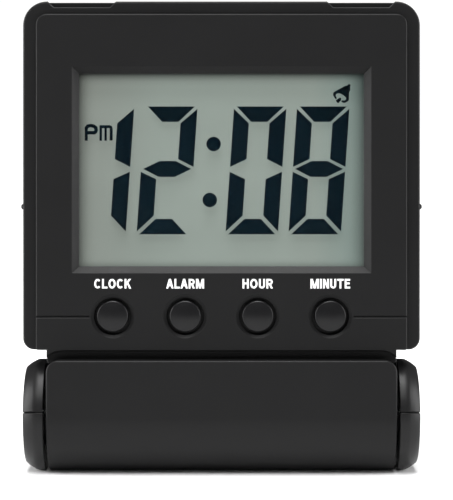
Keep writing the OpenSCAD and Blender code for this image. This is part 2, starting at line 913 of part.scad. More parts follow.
front_case();
rear_case();
lens();
lcd_front_glass();
lcd_rear_glass();
lcd_reflector();
lcd_holder();
zebra_upper();
zebra_lower();
circuit_board();
clock_chip();
crystal();
capacitor_1();
capacitor_2();
key(0);  // key_clock
key(1);  // key_alarm
key(2);  // key_hour
key(3);  // key_minute
plunger(0);  // plunger_clock
plunger(1);  // plunger_alarm
plunger(2);  // plunger_hour
plunger(3);  // plunger_minute
tact_switch(0);  // switch_clock
tact_switch(1);  // switch_alarm
tact_switch(2);  // switch_hour
tact_switch(3);  // switch_minute
buzzer_plate();
buzzer_ceramic();
battery_cell();
battery_spring();
negative_plate();
positive_plate();
battery_door();
positive_wire();
negative_wire();
buzzer_wire(0);  // buzzer_wire_1
buzzer_wire(1);  // buzzer_wire_2
case_screws();
board_screws();
cover();
hinge_cap(-1);  // hinge_cap_left
hinge_cap(1);  // hinge_cap_right
cap_screws();
hinge_pin(-1);  // hinge_pin_left
hinge_pin(1);  // hinge_pin_right
friction_washer(-1);  // friction_washer_left
friction_washer(1);  // friction_washer_right
retaining_clip(-1);  // retaining_clip_left
retaining_clip(1);  // retaining_clip_right
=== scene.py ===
"""Looks of a folding travel alarm clock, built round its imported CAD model.

Most pieces are drawn in the clock's own axes, in millimetres: X to the right, Y to the back and
Z up the face, from the hinge axis. Stand turns them into the row frame, in metres.
"""

import json
import logging
import math
from collections.abc import Iterable, Sequence
from dataclasses import dataclass
from enum import Enum

import bmesh
import bpy
from mathutils import Matrix, Vector


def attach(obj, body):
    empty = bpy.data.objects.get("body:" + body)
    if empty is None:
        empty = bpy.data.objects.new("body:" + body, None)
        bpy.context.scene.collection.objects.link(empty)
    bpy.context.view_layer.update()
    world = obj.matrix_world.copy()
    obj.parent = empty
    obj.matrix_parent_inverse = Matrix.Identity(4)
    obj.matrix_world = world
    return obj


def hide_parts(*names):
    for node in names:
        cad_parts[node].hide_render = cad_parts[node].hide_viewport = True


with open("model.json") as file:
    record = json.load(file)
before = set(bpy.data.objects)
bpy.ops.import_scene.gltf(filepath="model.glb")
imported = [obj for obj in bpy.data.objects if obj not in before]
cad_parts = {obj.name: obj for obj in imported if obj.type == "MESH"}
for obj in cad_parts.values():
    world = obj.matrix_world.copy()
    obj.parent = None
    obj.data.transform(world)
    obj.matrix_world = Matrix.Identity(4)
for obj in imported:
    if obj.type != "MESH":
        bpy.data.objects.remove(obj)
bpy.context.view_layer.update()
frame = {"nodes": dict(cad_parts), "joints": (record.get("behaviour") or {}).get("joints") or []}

MM = 0.001
LOG = logging.getLogger("clock")

Point2 = tuple[float, float]
Point3 = tuple[float, float, float]
Colour = tuple[float, float, float]


# ---------------------------------------------------------------- placing


@dataclass(frozen=True)
class Stand:
    """Where the clock's own axes lie in the row frame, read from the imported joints."""

    hinge: Vector
    lean: float
    swing: float

    @classmethod
    def from_joints(cls, joints: Sequence[dict]) -> "Stand":
        """Reads the hinge, the lean and the cover's swing.

        Args:
            joints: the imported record's joints.

        Returns:
            The stand that the joints describe.
        """
        named = {joint["name"]: joint for joint in joints}
        press = named["clock_press"]["axis"]
        cover = named["cover_swing"]
        lean = math.atan2(-press[2], press[1])
        return cls(Vector(cover["pos_m"]), lean, math.radians(cover["range_deg"][1]))

    def upright(self) -> Matrix:
        """The clock's own axes in the row frame, in metres."""
        return Matrix.Translation(self.hinge) @ Matrix.Rotation(-self.lean, 4, "X")

    def clock(self) -> Matrix:
        """The clock's own axes in millimetres, in the row frame."""
        return self.upright() @ Matrix.Scale(MM, 4)

    def cover(self) -> Matrix:
        """The axes of the cover's parts, which are drawn shut and stand open, in millimetres."""
        return self.upright() @ Matrix.Rotation(self.swing, 4, "X") @ Matrix.Scale(MM, 4)


STAND = Stand.from_joints(frame["joints"])


# ---------------------------------------------------------------- outlines


def arc(centre: Point2, radius: float, start: float, stop: float, steps: int) -> list[Point2]:
    """Points along a stretch of a circle.

    Args:
        centre: the circle's centre.
        radius: the circle's radius.
        start: angle of the first point, in degrees.
        stop: angle of the last point, in degrees.
        steps: how many stretches the arc has.

    Returns:
        The arc's points, its two ends included.
    """
    angles = [math.radians(start + (stop - start) * i / steps) for i in range(steps + 1)]
    return [(centre[0] + radius * math.cos(a), centre[1] + radius * math.sin(a)) for a in angles]


def full_turn(steps: int) -> list[float]:
    """Evenly spaced angles round a whole turn, in radians."""
    return [2 * math.pi * i / steps for i in range(steps)]


def soft_rect(half: float, low: float, top: float, r_low: float, r_top: float,
              steps: int = 9) -> list[Point2]:
    """Anticlockwise outline of a rectangle with rounded corners.

    Args:
        half: half of its width.
        low: height of its lower edge.
        top: height of its top edge.
        r_low: radius of its lower corners.
        r_top: radius of its top corners.
        steps: how many stretches a corner has.

    Returns:
        The outline's points.
    """
    right = arc((half - r_low, low + r_low), r_low, -90, 0, steps)
    right += arc((half - r_top, top - r_top), r_top, 0, 90, steps)
    return right + [(-x, z) for x, z in reversed(right)]


def inset(outline: Sequence[Point2], distance: float) -> list[Point2]:
    """Moves an anticlockwise outline inwards.

    Args:
        outline: the outline's points.
        distance: how far inwards each side moves.

    Returns:
        The moved points, one for each point of the outline.
    """
    moved = []
    for i, here in enumerate(outline):
        before = Vector(outline[i - 1])
        after = Vector(outline[(i + 1) % len(outline)])
        sides = [(Vector(here) - before), (after - Vector(here))]
        inwards = [Vector((-s.y, s.x)).normalized() for s in sides if s.length > 1e-9]
        mitre = sum(inwards, Vector((0, 0))).normalized()
        reach = distance / max(0.35, mitre.dot(inwards[0]))
        moved.append((here[0] + mitre.x * reach, here[1] + mitre.y * reach))
    return moved


def rounding(radius: float, steps: int) -> list[Point2]:
    """How a rounded edge runs from a face to its side.

    Args:
        radius: the edge's radius.
        steps: how many stretches it has.

    Returns:
        (inset, depth) pairs, from the face to the side.
    """
    if radius == 0:
        return [(0.0, 0.0)]
    angles = [math.pi / 2 * i / steps for i in range(steps + 1)]
    return [(radius * (1 - math.sin(a)), radius * (1 - math.cos(a))) for a in angles]


def counter_clockwise(outline: list[Point2]) -> list[Point2]:
    """The outline, turned round if it runs clockwise."""
    area = sum(a[0] * b[1] - b[0] * a[1] for a, b in zip(outline, outline[1:] + outline[:1], strict=True))
    return outline if area > 0 else outline[::-1]


def stroke(points: Sequence[Point2], width: float) -> list[Point2]:
    """The outline of a stroke with square ends along a line.

    Args:
        points: the line's points.
        width: the stroke's width.

    Returns:
        The outline.
    """
    sides: list[list[Point2]] = [[], []]
    for i, (x, z) in enumerate(points):
        before = Vector(points[max(i - 1, 0)])
        after = Vector(points[min(i + 1, len(points) - 1)])
        here = Vector((x, z))
        ways = [w.normalized() for w in (here - before, after - here) if w.length > 1e-9]
        along = sum(ways, Vector((0, 0))).normalized()
        reach = width / 2 / max(0.5, along.dot(ways[0]))
        for side, sign in zip(sides, (1, -1), strict=True):
            side.append((x - along.y * reach * sign, z + along.x * reach * sign))
    return counter_clockwise(sides[0] + sides[1][::-1])


# ---------------------------------------------------------------- solids


def ring_faces(rings: int, count: int) -> list[tuple[int, ...]]:
    """The faces between rings of points.

    Args:
        rings: how many rings there are.
        count: how many points each ring has.

    Returns:
        Each face's four point numbers.
    """
    faces = []
    for start in range(0, (rings - 1) * count, count):
        for i in range(count):
            j = (i + 1) % count
            faces.append((start + i, start + j, start + count + j, start + count + i))
    return faces


class Op(Enum):
    """How two solids are put together."""

    CUT = "DIFFERENCE"
    JOIN = "UNION"
    KEEP = "INTERSECT"


class Solid:
    """A closed mesh in the clock's own axes, in millimetres."""

    def __init__(self, mesh: bpy.types.Mesh) -> None:
        """Wraps a mesh that nothing else uses."""
        self.mesh = mesh

    @classmethod
    def from_faces(cls, points: Iterable[Sequence[float]], faces: Iterable[Sequence[int]]) -> "Solid":
        """Makes a solid whose faces all look outwards.

        Args:
            points: the corners.
            faces: the corners' numbers, face by face.

        Returns:
            The solid.
        """
        form = bmesh.new()
        corners = [form.verts.new(p) for p in points]
        for face in faces:
            form.faces.new([corners[i] for i in face])
        bmesh.ops.remove_doubles(form, verts=form.verts, dist=1e-5)
        bmesh.ops.recalc_face_normals(form, faces=form.faces)
        mesh = bpy.data.meshes.new("solid")
        form.to_mesh(mesh)
        form.free()
        return cls(mesh)

    @classmethod
    def loft(cls, rings: Sequence[Sequence[Sequence[float]]]) -> "Solid":
        """Joins rings, and closes the first and the last.

        Args:
            rings: rings of equally many points.

        Returns:
            The solid.
        """
        count = len(rings[0])
        last = (len(rings) - 1) * count
        ends = [tuple(range(count)), tuple(range(last, last + count))]
        faces = ring_faces(len(rings), count) + ends
        return cls.from_faces([p for ring in rings for p in ring], faces)

    @classmethod
    def layers(cls, outline: Sequence[Point2], levels: Iterable[Point2]) -> "Solid":
        """Stacks copies of a front view, each moved inwards, from level to level.

        Args:
            outline: the front view, anticlockwise.
            levels: how far inwards and at what depth each copy lies.

        Returns:
            The solid.
        """
        return cls.loft([[(x, y, z) for x, z in inset(outline, inwards)] for inwards, y in levels])

    @classmethod
    def slab(cls, outline: Sequence[Point2], front: float, back: float, round_front: float,
             round_back: float = 0.0, steps: int = 5) -> "Solid":
        """A front view with a depth, its front and back edges rounded.

        Args:
            outline: the front view, anticlockwise.
            front: depth of its front face.
            back: depth of its back face.
            round_front: radius of the edge round the front face.
            round_back: radius of the edge round the back face.
            steps: how many stretches a rounded edge has.

        Returns:
            The solid.
        """
        levels = [(inwards, front + deep) for inwards, deep in rounding(round_front, steps)]
        behind = [(inwards, back - deep) for inwards, deep in rounding(round_back, steps)]
        return cls.layers(outline, levels + behind[::-1])

    @classmethod
    def strokes(cls, lines: Sequence[tuple[Sequence[Point2], float]], front: float, back: float) -> "Solid":
        """Joins strokes into one solid with a depth.

        Args:
            lines: each stroke's line and width.
            front: depth of their front faces.
            back: depth of their back faces.

        Returns:
            The solid.
        """
        made = [cls.slab(stroke(line, width), front, back, 0.0) for line, width in lines]
        for other in made[1:]:
            made[0].combine(other, Op.JOIN)
        return made[0]

    @classmethod
    def lathe(cls, profile: Sequence[Point2], steps: int = 96) -> "Solid":
        """Turns a profile about X.

        Args:
            profile: (radius, place along X) pairs.
            steps: how many stretches a turn has.

        Returns:
            The solid.
        """
        turns = full_turn(steps)
        rings = [[(x, r * math.cos(t), r * math.sin(t)) for t in turns] for r, x in profile]
        return cls.loft(rings)

    @classmethod
    def of_node(cls, node: str, axes: Matrix) -> "Solid":
        """A copy of a CAD node's mesh.

        Args:
            node: the node's name.
            axes: the axes that the copy is given in.

        Returns:
            The copy.
        """
        form = bmesh.new()
        form.from_mesh(frame["nodes"][node].data)
        form.transform(axes.inverted())
        bmesh.ops.remove_doubles(form, verts=form.verts, dist=0.002)
        mesh = bpy.data.meshes.new(node)
        form.to_mesh(mesh)
        form.free()
        mesh.materials.clear()
        return cls(mesh)

    def combine(self, other: "Solid", how: Op) -> "Solid":
        """Changes this solid by another one.

        Args:
            other: the other solid, which stays as it is.
            how: whether it is cut away, joined on, or what they share is kept.

        Returns:
            This solid.
        """
        made = [bpy.data.objects.new("work", m) for m in (self.mesh, other.mesh)]
        for thing in made:
            bpy.context.scene.collection.objects.link(thing)
        change = made[0].modifiers.new("change", "BOOLEAN")
        change.object = made[1]
        change.operation = how.value
        change.solver = "MANIFOLD"
        done = made[0].evaluated_get(bpy.context.evaluated_depsgraph_get())
        self.mesh = bpy.data.meshes.new_from_object(done)
        for thing in made:
            bpy.data.objects.remove(thing)
        return self

    def moved(self, matrix: Matrix) -> "Solid":
        """A moved copy of this solid.

        Args:
            matrix: the move, in the solid's own axes.

        Returns:
            The copy.
        """
        mesh = self.mesh.copy()
        mesh.transform(matrix)
        if matrix.determinant() < 0:
            mesh.flip_normals()
        return Solid(mesh)


# ---------------------------------------------------------------- pieces


def add_piece(name: str, mesh: bpy.types.ID, body: str, material: bpy.types.Material,
              replaced: Sequence[str] = ()) -> bpy.types.Object:
    """Puts a piece into the scene, in the row frame, and makes it ride on its body.

    Args:
        name: the piece's name.
        mesh: its mesh or curve.
        body: the CAD body that it moves with.
        material: its material.
        replaced: the CAD nodes that it stands for.

    Returns:
        The piece's object.
    """
    piece = bpy.data.objects.new(name, mesh)
    bpy.context.scene.collection.objects.link(piece)
    mesh.materials.clear()
    mesh.materials.append(material)
    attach(piece, body)
    if replaced:
        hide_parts(*replaced)
    LOG.info("%s rides on %s", name, body)
    return piece


def add_solid(name: str, solid: Solid, axes: Matrix, body: str, material: bpy.types.Material,
              replaced: Sequence[str] = (), crease: float = 33.0) -> bpy.types.Object:
    """Adds a solid as a smoothly shaded piece.

    Args:
        name: the piece's name.
        solid: its shape.
        axes: the axes that it was drawn in.
        body: the CAD body that it moves with.
        material: its material.
        replaced: the CAD nodes that it stands for.
        crease: the least angle between faces that shows as an edge, in degrees.

    Returns:
        The piece's object.
    """
    mesh = solid.mesh
    if "custom_normal" in mesh.attributes:
        mesh.attributes.remove(mesh.attributes["custom_normal"])
    form = bmesh.new()
    form.from_mesh(mesh)
    bmesh.ops.remove_doubles(form, verts=form.verts, dist=0.0005)
    bmesh.ops.dissolve_limit(form, angle_limit=math.radians(0.3), verts=form.verts, edges=form.edges)
    form.normal_update()
    for face in form.faces:
        face.smooth = True
    for edge in form.edges:
        edge.smooth = len(edge.link_faces) == 2 and edge.calc_face_angle() < math.radians(crease)
    form.transform(axes)
    form.to_mesh(mesh)
    form.free()
    piece = add_piece(name, mesh, body, material, replaced)
    flats = piece.modifiers.new("flats", "WEIGHTED_NORMAL")
    flats.keep_sharp = True
    flats.weight = 80
    return piece


# ---------------------------------------------------------------- shaders


class Value:
    """A number in a shader, which takes part in Python expressions."""

    def __init__(self, graph: "Graph", socket: bpy.types.NodeSocket) -> None:
        """Wraps a socket that gives a number."""
        self.graph = graph
        self.socket = socket

    def _maths(self, operation: str, first: "Value | float", second: "Value | float") -> "Value":
        """The result of a Math node on two numbers."""
        return self.graph.node("Math", {"operation": operation}, {0: first, 1: second}).value()

    def __add__(self, other: "Value | float") -> "Value":
        """This plus other."""
        return self._maths("ADD", self, other)

    def __radd__(self, other: float) -> "Value":
        """Other plus this."""
        return self._maths("ADD", other, self)

    def __sub__(self, other: "Value | float") -> "Value":
        """This minus other."""
        return self._maths("SUBTRACT", self, other)

    def __rsub__(self, other: float) -> "Value":
        """Other minus this."""
        return self._maths("SUBTRACT", other, self)

    def __mul__(self, other: "Value | float") -> "Value":
        """This times other."""
        return self._maths("MULTIPLY", self, other)

    def __rmul__(self, other: float) -> "Value":
        """Other times this."""
        return self._maths("MULTIPLY", other, self)

    def above(self, limit: float) -> "Value":
        """1 where this is over a limit, else 0."""
        return self._maths("GREATER_THAN", self, limit)


class Made:
    """A node in a shader, with its outputs by name."""

    def __init__(self, graph: "Graph", node: bpy.types.Node) -> None:
        """Wraps a node."""
        self.graph = graph
        self.node = node

    def value(self, name: str | int = 0) -> Value:
        """One of the node's outputs as a number."""
        return Value(self.graph, self.node.outputs[name])

    def out(self, name: str | int = 0) -> bpy.types.NodeSocket:
        """One of the node's outputs."""
        return self.node.outputs[name]


class Graph:
    """The nodes of one material or of the world."""

    def __init__(self, owner: bpy.types.Material | bpy.types.World) -> None:
        """Empties the owner's nodes, to build them anew.

        Args:
            owner: the material or world.
        """
        owner.use_nodes = True
        self.tree = owner.node_tree
        self.tree.nodes.clear()

    def node(self, kind: str, settings: dict | None = None, inputs: dict | None = None) -> Made:
        """Adds a node.

        Args:
            kind: the node's type without its ShaderNode prefix.
            settings: its settings; a ramp's stops are a list of (place, grey or colour).
            inputs: values or links of its sockets, by name or number.

        Returns:
            The node.
        """
        made = self.tree.nodes.new("ShaderNode" + kind)
        for name, setting in (settings or {}).items():
            if name == "stops":
                self._set_stops(made.color_ramp, setting)
            else:
                setattr(made, name, setting)
        for name, given in (inputs or {}).items():
            self.feed(made.inputs[name], given)
        return Made(self, made)

    def feed(self, socket: bpy.types.NodeSocket, given: object) -> None:
        """Sets a socket to a value, or links it.

        Args:
            socket: the socket.
            given: a number, vector or colour to set, or a Value or socket to link.
        """
        if isinstance(given, Value):
            self.tree.links.new(given.socket, socket)
        elif isinstance(given, bpy.types.NodeSocket):
            self.tree.links.new(given, socket)
        elif isinstance(given, tuple) and socket.type == "RGBA":
            socket.default_value = (*given, 1.0)
        else:
            socket.default_value = given

    @staticmethod
    def _set_stops(ramp: bpy.types.ColorRamp, stops: Sequence[tuple[float, float | Colour]]) -> None:
        """Sets a ramp's stops.

        Args:
            ramp: the ramp.
            stops: (place, grey or colour) pairs.
        """
        while len(ramp.elements) < len(stops):
            ramp.elements.new(1.0)
        for element, (place, colour) in zip(ramp.elements, stops, strict=True):
            element.position = place
            element.color = (*colour, 1.0) if isinstance(colour, tuple) else (colour, colour, colour, 1.0)

    def here(self) -> bpy.types.NodeSocket:
        """The place on the surface, in metres, in the piece's own axes."""
        return self.node("TexCoord").out("Object")

    def noise(self, size: float, detail: float = 2.0, roughness: float = 0.5) -> Value:
        """Noise from 0 to 1 whose patches are about a size in millimetres."""
        settings = {"Vector": self.here(), "Scale": 1 / (size * MM), "Detail": detail, "Roughness": roughness}
        return self.node("TexNoise", None, settings).value("Fac")

    def ramp(self, value: Value, stops: Sequence[tuple[float, float | Colour]]) -> Made:
        """A colour or grey for each number, between the given stops."""
        return self.node("ValToRGB", {"stops": stops}, {"Fac": value})

    def mix(self, share: Value | float, first: object, second: object) -> bpy.types.NodeSocket:
        """A colour between two colours.

        Args:
            share: how much of the second colour there is.
            first: the first colour, or a link to it.
            second: the second colour, or a link to it.

        Returns:
            The colour's socket.
        """
        made = self.node("Mix", {"data_type": "RGBA"}, {"Factor": share})
        self.feed(made.node.inputs[6], first)
        self.feed(made.node.inputs[7], second)
        return made.out(2)

    def bump(self, height: Value, depth: float, strength: float = 1.0) -> bpy.types.NodeSocket:
        """A normal from a height; depth is in millimetres."""
        return self.node("Bump", None, {"Height": height, "Distance": depth * MM, "Strength": strength}).out()

    def coat(self, inputs: dict) -> None:
        """Makes a Principled shader with these inputs the surface."""
        self.finish(self.node("BsdfPrincipled", None, inputs).out())

    def finish(self, shader: bpy.types.NodeSocket) -> None:
        """Makes a shader the surface."""
        self.node("OutputMaterial", None, {"Surface": shader})


class Finish:
    """A surface finish. Its material is made once."""

    name: str
    _made: dict[str, bpy.types.Material] = {}

    def material(self) -> bpy.types.Material:
        """Makes the finish's material when it is first needed.

        Returns:
            The material.
        """
        if self.name not in Finish._made:
            material = bpy.data.materials.new(self.name)
            self.build(Graph(material))
            Finish._made[self.name] = material
        return Finish._made[self.name]

    def build(self, graph: Graph) -> None:
        """Builds the material's nodes."""
        raise NotImplementedError


@dataclass(frozen=True)
class MouldedPlastic(Finish):
    """Injection-moulded plastic with a fine spark-eroded grain and faint flow clouds."""

    name: str
    colour: Colour
    roughness: float
    grain: float = 0.16
    grain_depth: float = 0.004
    cloud: float = 9.0
    shine: float = 0.5

    def build(self, graph: Graph) -> None:
        """Clouded colour, uneven gloss and a grained normal.

        Args:
            graph: the material's nodes.
        """
        cloud = graph.noise(self.cloud, 3.0)
        speck = graph.noise(self.grain, 2.0, 0.6)
        darker = tuple(c * 0.88 for c in self.colour)
        lighter = tuple(min(1.0, c * 1.14) for c in self.colour)
        shade = graph.mix(cloud * 0.75 + speck * 0.25, darker, lighter)
        gloss = self.roughness + (cloud - 0.5) * 0.06 + (speck - 0.5) * 0.08
        graph.coat({
            "Base Color": shade,
            "Roughness": gloss,
            "Specular IOR Level": self.shine,
            "Normal": graph.bump(speck, self.grain_depth),
        })


@dataclass(frozen=True)
class Metal(Finish):
    """Plated or bare metal, with fine turning or rolling marks."""

    name: str
    colour: Colour
    roughness: float
    streak: float = 0.12

    def build(self, graph: Graph) -> None:
        """Streaked gloss and a slightly uneven colour.

        Args:
            graph: the material's nodes.
        """
        stretch = graph.node("Mapping", None, {"Vector": graph.here(), "Scale": (0.15, 1.0, 1.0)}).out()
        inputs = {"Vector": stretch, "Scale": 1 / (self.streak * MM), "Detail": 3.0}
        marks = graph.node("TexNoise", None, inputs).value("Fac")
        dull = tuple(c * 0.8 for c in self.colour)
        graph.coat({
            "Base Color": graph.mix(marks, dull, self.colour),
            "Metallic": 1.0,
            "Roughness": self.roughness + (marks - 0.5) * 0.12,
            "Normal": graph.bump(marks, 0.003),
        })


@dataclass(frozen=True)
class ClearPane(Finish):
    """A clear pane that lets light straight through and mirrors a little at its faces."""

    name: str
    tint: Colour
    gloss: float

    def build(self, graph: Graph) -> None:
        """Transparent, with a mirror share that grows at grazing angles.

        Args:
            graph: the material's nodes.
        """
        smear = graph.noise(6.0, 2.0)
        through = graph.node("BsdfTransparent", None, {"Color": self.tint}).out()
        mirror = graph.node("BsdfAnisotropic", None, {
            "Color": (1.0, 1.0, 1.0),
            "Roughness": self.gloss + smear * 0.03,
        }).out()
        tilt = graph.node("LayerWeight", None, {"Blend": 0.5}).value("Facing")
        share = 0.002 + 0.7 * (tilt * tilt) * (tilt * tilt) * tilt
        graph.finish(graph.node("MixShader", None, {0: share, 1: through, 2: mirror}).out())


@dataclass(frozen=True)
class ReflectorFilm(Finish):
    """The grey-green film behind the display, which gives off a painted glow and is darker near the window's
    edges as a painted shadow of the window.
    """

    name: str
    warm: Colour
    middle: Colour
    cool: Colour
    half: float
    low: float
    top: float

    def _painted_edge_shadow(self, graph: Graph, inside: Value, dark: float, wide: float) -> Value:
        """Painted shadow of one of the window's edges, as brightness by the distance from it.

        Args:
            graph: the material's nodes.
            inside: the distance inside the edge, in metres.
            dark: brightness at the edge.
            wide: how far the painted shade reaches, in millimetres.

        Returns:
            The brightness, 1 where no painted shade falls.
        """
        place = inside * (1 / (wide * MM))
        stops = [(0.0, dark), (0.25, dark + (1 - dark) * 0.45), (0.6, dark + (1 - dark) * 0.85), (1.0, 1.0)]
        return graph.ramp(place, stops).value()

    def build(self, graph: Graph) -> None:
        """Colour by place across the film, over a fine sparkle, given off as a painted glow that the window's
        edges darken as painted shadows and that is a little brighter towards the top.

        Args:
            graph: the material's nodes.
        """
        place = graph.node("SeparateXYZ", None, {0: graph.here()})
        across, up = place.value(0), place.value(2)
        stops = [(0.0, self.warm), (0.3, self.middle), (0.82, self.middle), (1.0, self.cool)]
        colour = graph.ramp(across * (0.5 / (self.half * MM)) + 0.5, stops).out()
        speck = graph.noise(0.12, 2.0)
        cloud = graph.noise(14.0, 2.0)
        low, top = (STAND.clock() @ Vector((0.0, -1.5, z)) for z in (self.low, self.top))
        half = self.half * MM
        # Painted light: the glow's strength holds painted shadows of the window's four edges, grows a little
        # towards the top and varies at random.
        share = self._painted_edge_shadow(graph, across + half, 0.25, 2.6) * self._painted_edge_shadow(graph, half - across, 0.2, 3.6)
        share = share * self._painted_edge_shadow(graph, top.z - up, 0.08, 2.1) * self._painted_edge_shadow(graph, up - low.z, 0.45, 1.4)
        share = share * (0.9 + (up - low.z) * (0.15 / (top.z - low.z)))
        share = share * (0.95 + cloud * 0.06 + speck * 0.04)
        # The painted glow: the film gives off light as if lit, though it is no lamp.
        painted_glow = graph.node("VectorMath", {"operation": "SCALE"}, {0: colour, "Scale": share}).out()
        graph.coat({
            "Base Color": graph.mix(speck, (0.1, 0.11, 0.105), (0.14, 0.15, 0.145)),
            "Roughness": 0.62 + (speck - 0.5) * 0.1,
            "Specular IOR Level": 0.25,
            "Emission Color": painted_glow,
            "Emission Strength": 0.6,
            "Normal": graph.bump(speck, 0.002),
        })


@dataclass(frozen=True)
class PrintedInk(Finish):
    """A thin print or a switched-on segment, slightly uneven."""

    name: str
    colour: Colour
    roughness: float
    shine: float = 0.3

    def build(self, graph: Graph) -> None:
        """Nearly even colour, matt.

        Args:
            graph: the material's nodes.
        """
        speck = graph.noise(0.2, 2.0)
        darker = tuple(c * 0.9 for c in self.colour)
        graph.coat({
            "Base Color": graph.mix(speck, darker, self.colour),
            "Specular IOR Level": self.shine,
            "Roughness": self.roughness + (speck - 0.5) * 0.1,
            "Normal": graph.bump(speck, 0.002),
        })


@dataclass(frozen=True)
class StripedRubber(Finish):
    """Contact strip: thin dark conducting layers in pale silicone."""

    name: str
    pale: Colour
    dark: Colour
    pitch: float = 0.18

    def build(self, graph: Graph) -> None:
        """Bands along X.

        Args:
            graph: the material's nodes.
        """
        bands = graph.node("TexWave", {"bands_direction": "X"}, {
            "Vector": graph.here(),
            "Scale": 1 / (self.pitch * MM * 20),
            "Distortion": 0.3,
        }).value("Fac")
        graph.coat({
            "Base Color": graph.mix(bands.above(0.5), self.pale, self.dark),
            "Roughness": 0.55 + bands * 0.15,
            "Normal": graph.bump(bands, 0.01),
        })


@dataclass(frozen=True)
class SolderMask(Finish):
    """Circuit board lacquer over glass cloth and copper tracks."""

    name: str
    mask: Colour
    track: Colour

    def build(self, graph: Graph) -> None:
        """Tracks from a brick pattern, weave in the normal.

        Args:
            graph: the material's nodes.
        """
        bricks = graph.node("TexBrick", {"offset": 0.37, "squash": 0.8}, {
            "Vector": graph.node("Mapping", None, {
                "Vector": graph.here(),
                "Rotation": (math.pi / 2, 0.0, 0.0),
            }).out(),
            "Scale": 1 / (2.4 * MM),
            "Mortar Size": 0.06,
            "Mortar Smooth": 0.1,
        }).value("Fac")
        weave = graph.noise(0.35, 2.0)
        graph.coat({
            "Base Color": graph.mix(bricks, self.mask, self.track),
            "Roughness": 0.3 + weave * 0.12,
            "Normal": graph.bump(bricks + weave * 0.2, 0.02),
        })


@dataclass(frozen=True)
class CellWrap(Finish):
    """The printed sleeve of a battery cell: a dark sleeve with one pale end band."""

    name: str
    sleeve: Colour
    band: Colour
    band_from: float

    def build(self, graph: Graph) -> None:
        """Colour by place along the cell.

        Args:
            graph: the material's nodes.
        """
        along = graph.node("SeparateXYZ", None, {0: graph.here()}).value(0)
        cloud = graph.noise(2.0, 2.0)
        banded = along.above(self.band_from * MM)
        graph.coat({
            "Base Color": graph.mix(banded, self.sleeve, self.band),
            "Metallic": banded * 0.7,
            "Roughness": 0.26 + cloud * 0.1,
            "Normal": graph.bump(cloud, 0.004),
        })


@dataclass(frozen=True)
class FloorPaper(Finish):
    """The studio's pale paper floor."""

    name: str
    colour: Colour

    def build(self, graph: Graph) -> None:
        """Faint fibres.

        Args:
            graph: the material's nodes.
        """
        fibre = graph.noise(3.0, 3.0)
        off = tuple(c * 0.985 for c in self.colour)
        graph.coat({
            "Base Color": graph.mix(fibre, off, self.colour),
            "Roughness": 0.75 + fibre * 0.1,
            "Specular IOR Level": 0.2,
        })


BLACK = (0.0068, 0.0068, 0.007)
CASE = MouldedPlastic("case_plastic", BLACK, 0.44, shine=0.13)
BACK = MouldedPlastic("back_plastic", BLACK, 0.48, shine=0.2)
COVER = MouldedPlastic("cover_plastic", BLACK, 0.38, shine=0.17)
CAPS = MouldedPlastic("cap_plastic", BLACK, 0.38, shine=0.17)
KEYS = MouldedPlastic("key_plastic", (0.005, 0.005, 0.0054), 0.3, grain_depth=0.002, shine=0.2)
WHITE = MouldedPlastic("white_plastic", (0.72, 0.72, 0.69), 0.5)
SWITCH = MouldedPlastic("switch_plastic", (0.05, 0.052, 0.056), 0.45)
EPOXY = MouldedPlastic("epoxy", (0.008, 0.008, 0.009), 0.22, grain=0.8)
CERAMIC = MouldedPlastic("ceramic", (0.62, 0.58, 0.48), 0.4)
RED_WIRE = MouldedPlastic("red_insulation", (0.45, 0.02, 0.015), 0.35)
BLACK_WIRE = MouldedPlastic("black_insulation", (0.012, 0.012, 0.013), 0.35)
STEEL = Metal("bright_metal", (0.62, 0.62, 0.61), 0.28)
SCREW = Metal("screw_steel", (0.2, 0.2, 0.21), 0.34)
BRASS = Metal("brass", (0.68, 0.48, 0.2), 0.3)
PRINT = PrintedInk("white_print", (0.86, 0.86, 0.86), 0.5)
SEGMENT = PrintedInk("segment_ink", (0.001, 0.006, 0.011), 0.5, 0.03)
LENS = ClearPane("clear_window", (0.97, 0.975, 0.97), 0.05)
GLASS = ClearPane("display_glass", (0.955, 0.97, 0.96), 0.22)
# The reflector film's glow is painted light, with painted shadows of the window's edges.
FILM = ReflectorFilm("reflector_film", (0.45, 0.455, 0.43), (0.53, 0.57, 0.54), (0.36, 0.45, 0.435),
                     23.9, 24.9, 57.24)
RUBBER = StripedRubber("contact_strip", (0.07, 0.068, 0.065), (0.015, 0.015, 0.015))
MASK = SolderMask("solder_mask", (0.02, 0.14, 0.045), (0.05, 0.24, 0.08))
SLEEVE = CellWrap("cell_sleeve", (0.03, 0.032, 0.036), (0.6, 0.44, 0.22), 12.0)
PAPER = FloorPaper("floor_paper", (0.9, 0.9, 0.9))


# ---------------------------------------------------------------- case


